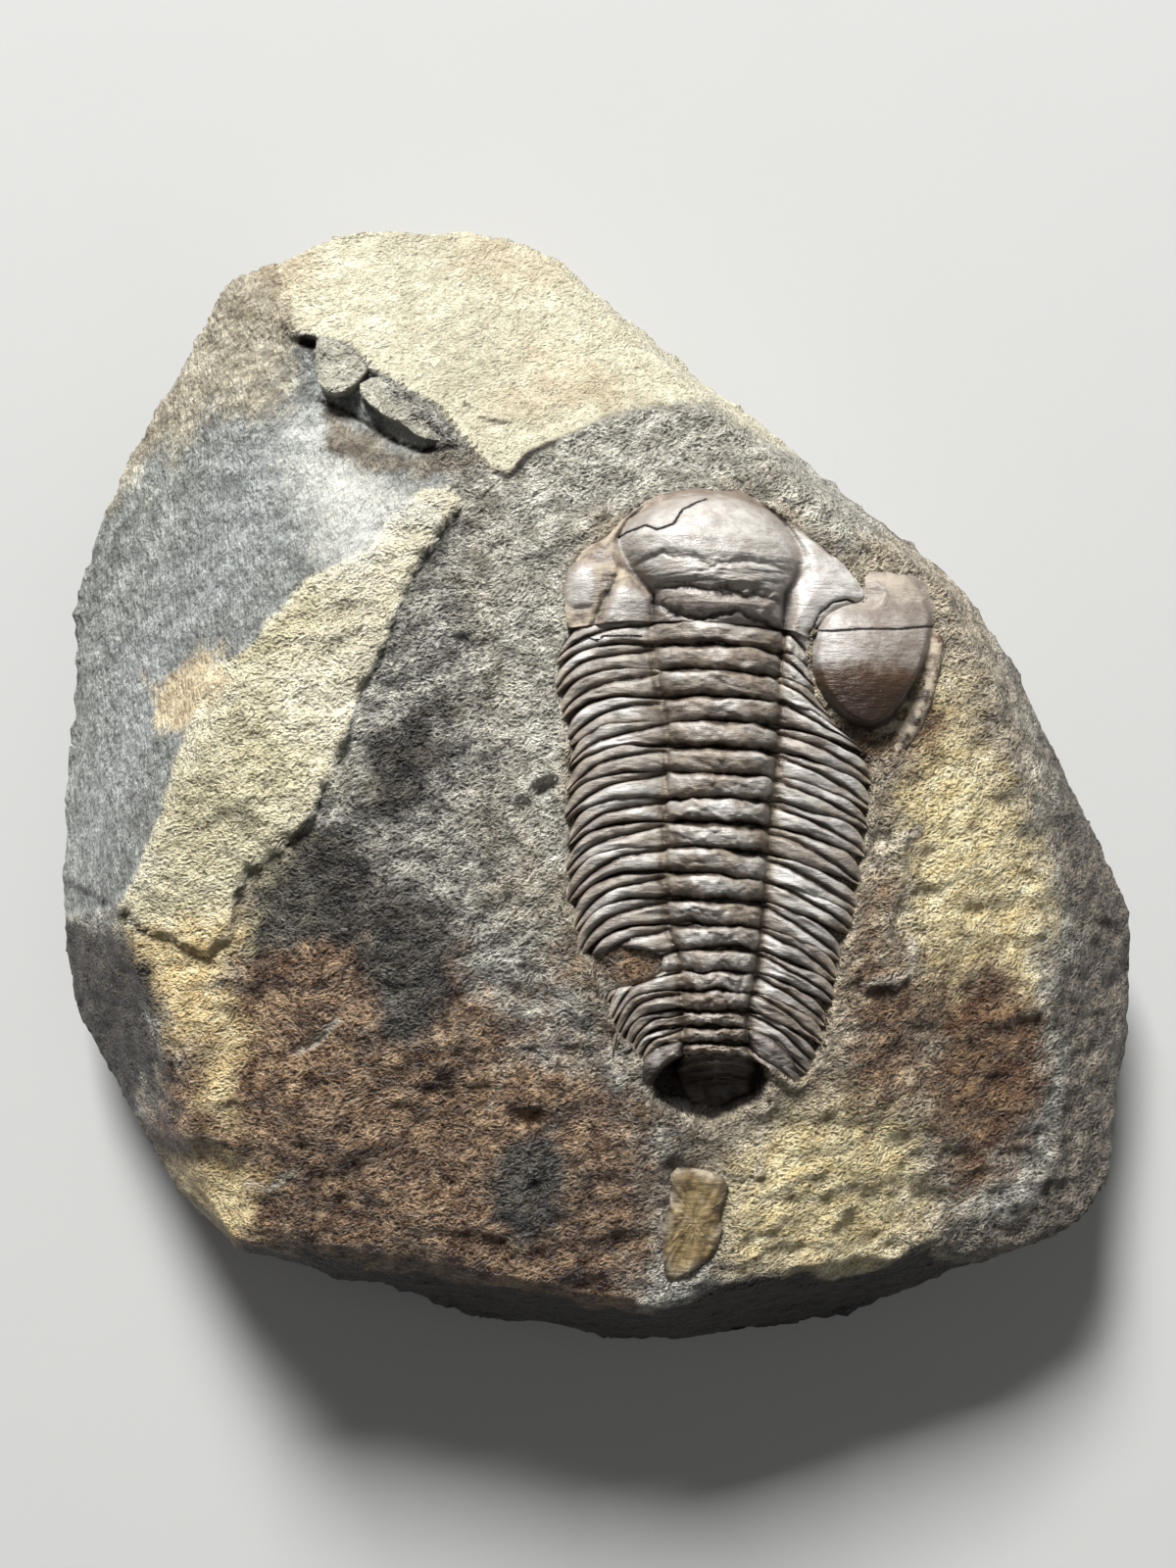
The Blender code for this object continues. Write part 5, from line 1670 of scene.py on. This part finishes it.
@dataclass
class ShellScrap:
    """The scrap of shell at the front edge of the block."""

    plan: BodyPlan
    outline: Outline = path(10.6, -53, 14.6, -53.2, 19.1, -54.9, 17.9, -59, 18, -63.2, 16.6, -66.4, 14, -68,
                            10.4, -70.2, 9.7, -66.3, 9.8, -61.1, 10.9, -57.6)
    middle: tuple[float, float] = (14.0, -61.0)
    rings: int = 16
    hairlines: tuple[Outline, ...] = (path(10.4, -57, 11.6, -59.4), path(10, -63, 13.6, -62.6,
                                                                           17.6, -62.8),
                                      path(10.4, -67, 11.6, -69.4))

    def height(self, x: Array, y: Array) -> Array:
        """Height of the scrap's surface at x, y.

        Args:
            x, y: the places.

        Returns:
            One height for each place.
        """
        rise = np.clip(outline_distance(x, y, self.outline) / 1.4, 0.0, 1.0)
        z = 0.1 + 0.35 * np.sqrt(np.maximum(rise * (2.0 - rise), 0.0))
        z += 0.5 * bump(x - 17.0 - 0.25 * (y + 55.0), 1.8) + 0.3 * bump(y + 54.6, 1.6)
        spots = on_plan(x, y)
        wrinkles = 0.26 * fractal(spots * np.array((1.2, 0.5, 1.0)), 5, 0.62, 97)
        return self.plan.crown.height(x, y) + z + wrinkles

    def build(self, shell: bpy.types.Material) -> None:
        """Make the scrap of shell.

        Args:
            shell: its material.
        """
        rim = even_outline(self.outline, EDGE_SPACING, 1)
        mesh = DomedPlate("scrap", rim, self.middle, self.rings, self.height).build()
        x, y, _ = read_points(mesh).T
        edge = outline_distance(x, y, self.outline)
        store(mesh, "crest", smoothstep(0.0, 1.2, edge))
        hair = np.min([line_distance(x, y, line) for line in self.hairlines], axis=0)
        store(mesh, "film_and_sheen", 0.2 * smoothstep(0.0, 1.2, edge) + 0.9 * smoothstep(0.3, 0.1, hair))
        patchy = 0.5 * fractal(np.column_stack((x, y, y)) * 0.4, 3, 0.6, 98)
        store(mesh, "dusty", np.maximum(0.9 * bump(edge, 1.2), patchy))
        store(mesh, "crack", NO_CRACK)
        finish_piece("scrap", mesh, ("shell_fragment",), shell)


@dataclass
class LedgeChips:
    """The two flakes that stand off the broken ledge of the pale bed."""

    rock: MatrixRock
    flakes: tuple[Outline, ...] = (
        path(-39.7, 64.5, -35.7, 63.1, -31.9, 59.3, -32.4, 58, -34.6, 55.3, -37.3, 55, -39.1, 56.7,
             -39.8, 62.4),
        path(-33.7, 56.1, -30.7, 58, -27.3, 56.1, -22, 52.9, -18.4, 48.3, -20.2, 47.2, -24, 48, -26.3, 50.1,
             -30.4, 52.2))
    proud: float = 0.45
    thick: float = 3.2
    rings: int = 20
    rough: float = 0.7
    well_inside: float = 5.0

    def build(self, stone: bpy.types.Material) -> None:
        """Make both flakes.

        Args:
            stone: their material.
        """
        start, top = self.rock.bed_start
        for number, outline in enumerate(self.flakes, 1):
            def height(x: Array, y: Array) -> Array:
                """Height of this flake's surface at x, y.

                Args:
                    x, y: the places.

                Returns:
                    One height for each place.
                """
                flat = on_plan(x, y)
                edge = outline_distance(x, y, outline)
                z = top - self.rock.bed_fall * (y - start) + self.proud + 0.3 * ridged(flat * 0.4, 4, 0.6, 7)
                return z - 0.3 * smoothstep(0.4, 0.0, edge) - 0.8 * smoothstep(-34.0, -40.0, x)
            middle = tuple(np.mean(outline, axis=0))
            rim = even_outline(outline, EDGE_SPACING, 1)
            plate = DomedPlate(f"ledge_chip_{number}", rim, middle, self.rings, height, self.thick)
            mesh = plate.build()
            for tone in MudstoneFinish.tones:
                store(mesh, tone.mask, self.well_inside if tone.mask == "chip" else FAR_OUT)
            store(mesh, "rough", self.rough)
            finish_piece(plate.name, mesh, look=stone)


@dataclass
class Studio:
    """Pale floor, one large soft light from the head end, a weak fill and the camera."""

    camera_at: tuple[float, float, float] = (-0.0007, 0.0, 0.340)
    lens: float = 50.0
    sensor: float = 36.0
    nearest: float = 0.01
    key_at: tuple[float, float, float] = (-0.45, 2.16, 1.56)
    key_size: float = 0.78
    key_power: float = 196.0
    fill_at: tuple[float, float, float] = (0.5, -0.25, 0.7)
    fill_size: float = 0.8
    fill_power: float = 0.9
    sky: float = 0.11
    floor_color: Color = (0.42, 0.42, 0.41)
    floor_size: float = 9.0

    def lamp(self, name: str, at: tuple[float, float, float], size: float, power: float) -> None:
        """One square soft light aimed at the block.

        Args:
            name: the light's name.
            at: its place in metres.
            size: the length of its side.
            power: its power in watts.
        """
        data = bpy.data.lights.new(name, "AREA")
        data.energy, data.size = power, size
        lamp = bpy.data.objects.new(name, data)
        bpy.context.scene.collection.objects.link(lamp)
        lamp.location = at
        lamp.rotation_euler = (-lamp.location).to_track_quat("-Z", "Y").to_euler()

    def floor(self) -> None:
        """The floor under the block."""
        bm = bmesh.new()
        bmesh.ops.create_grid(bm, x_segments=1, y_segments=1, size=self.floor_size / 2.0)
        mesh = bpy.data.meshes.new("floor")
        bm.to_mesh(mesh)
        bm.free()
        made, board, shader = new_material("floor_paper")
        speckle = board.noise(board.millimetres(), 0.05, 3.0)
        darker = tuple(0.98 * part for part in self.floor_color)
        color = board.blend(speckle, paint(darker), paint(self.floor_color))
        board.feed(shader.inputs["Base Color"], color)
        shader.inputs["Roughness"].default_value = 0.9
        mesh.materials.append(made)
        make_object("floor", mesh)

    def build(self) -> None:
        """Set up floor, lights, sky and camera."""
        scene = bpy.context.scene
        scene.view_settings.view_transform = "Standard"
        world = bpy.data.worlds.new("sky")
        world.use_nodes = True
        world.node_tree.nodes["Background"].inputs["Strength"].default_value = self.sky
        world.node_tree.nodes["Background"].inputs["Color"].default_value = paint((1.0, 1.0, 1.0))
        scene.world = world
        self.floor()
        self.lamp("key", self.key_at, self.key_size, self.key_power)
        self.lamp("fill", self.fill_at, self.fill_size, self.fill_power)
        data = bpy.data.cameras.new("camera")
        data.lens, data.sensor_width, data.clip_start = self.lens, self.sensor, self.nearest
        camera = bpy.data.objects.new("camera", data)
        camera.location = self.camera_at
        scene.collection.objects.link(camera)
        scene.camera = camera


def main() -> None:
    """Build the specimen piece by piece, then the studio."""
    logging.basicConfig(level=logging.INFO, format="%(message)s")
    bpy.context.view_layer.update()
    plan = BodyPlan()
    mudstone = MudstoneFinish(grain_group())
    stone = mudstone.material("mudstone")
    skin = shell_group()
    shell = ShellFinish(skin).material("shell")
    rock = MatrixRock(plan, ShellScrap.outline)
    rock.build(mudstone, stone)
    LedgeChips(rock).build(stone)
    Thorax(plan).build(shell)
    HeadShield(plan).build(shell)
    # painted shade: the tail's shell colours are darker because it lies in the shadow of the hollow
    tail = ShellFinish(skin, deep=(0.010, 0.005, 0.003), brown=(0.062, 0.036, 0.024), gloss=0.42)
    TailPlate(plan).build(tail.material("tail_shell"))
    cheek = ShellFinish(skin, deep=(0.016, 0.007, 0.003), brown=(0.088, 0.048, 0.026), gloss=0.36)
    FreeCheek(plan).build(cheek.material("cheek_shell"))
    scrap = ShellFinish(skin, deep=(0.05, 0.034, 0.013), brown=(0.20, 0.14, 0.06),
                        film_and_sheen=(0.36, 0.29, 0.16), gloss=0.45)
    ShellScrap(plan).build(scrap.material("scrap_shell"))
    Studio().build()


if __name__ == "__main__":
    main()
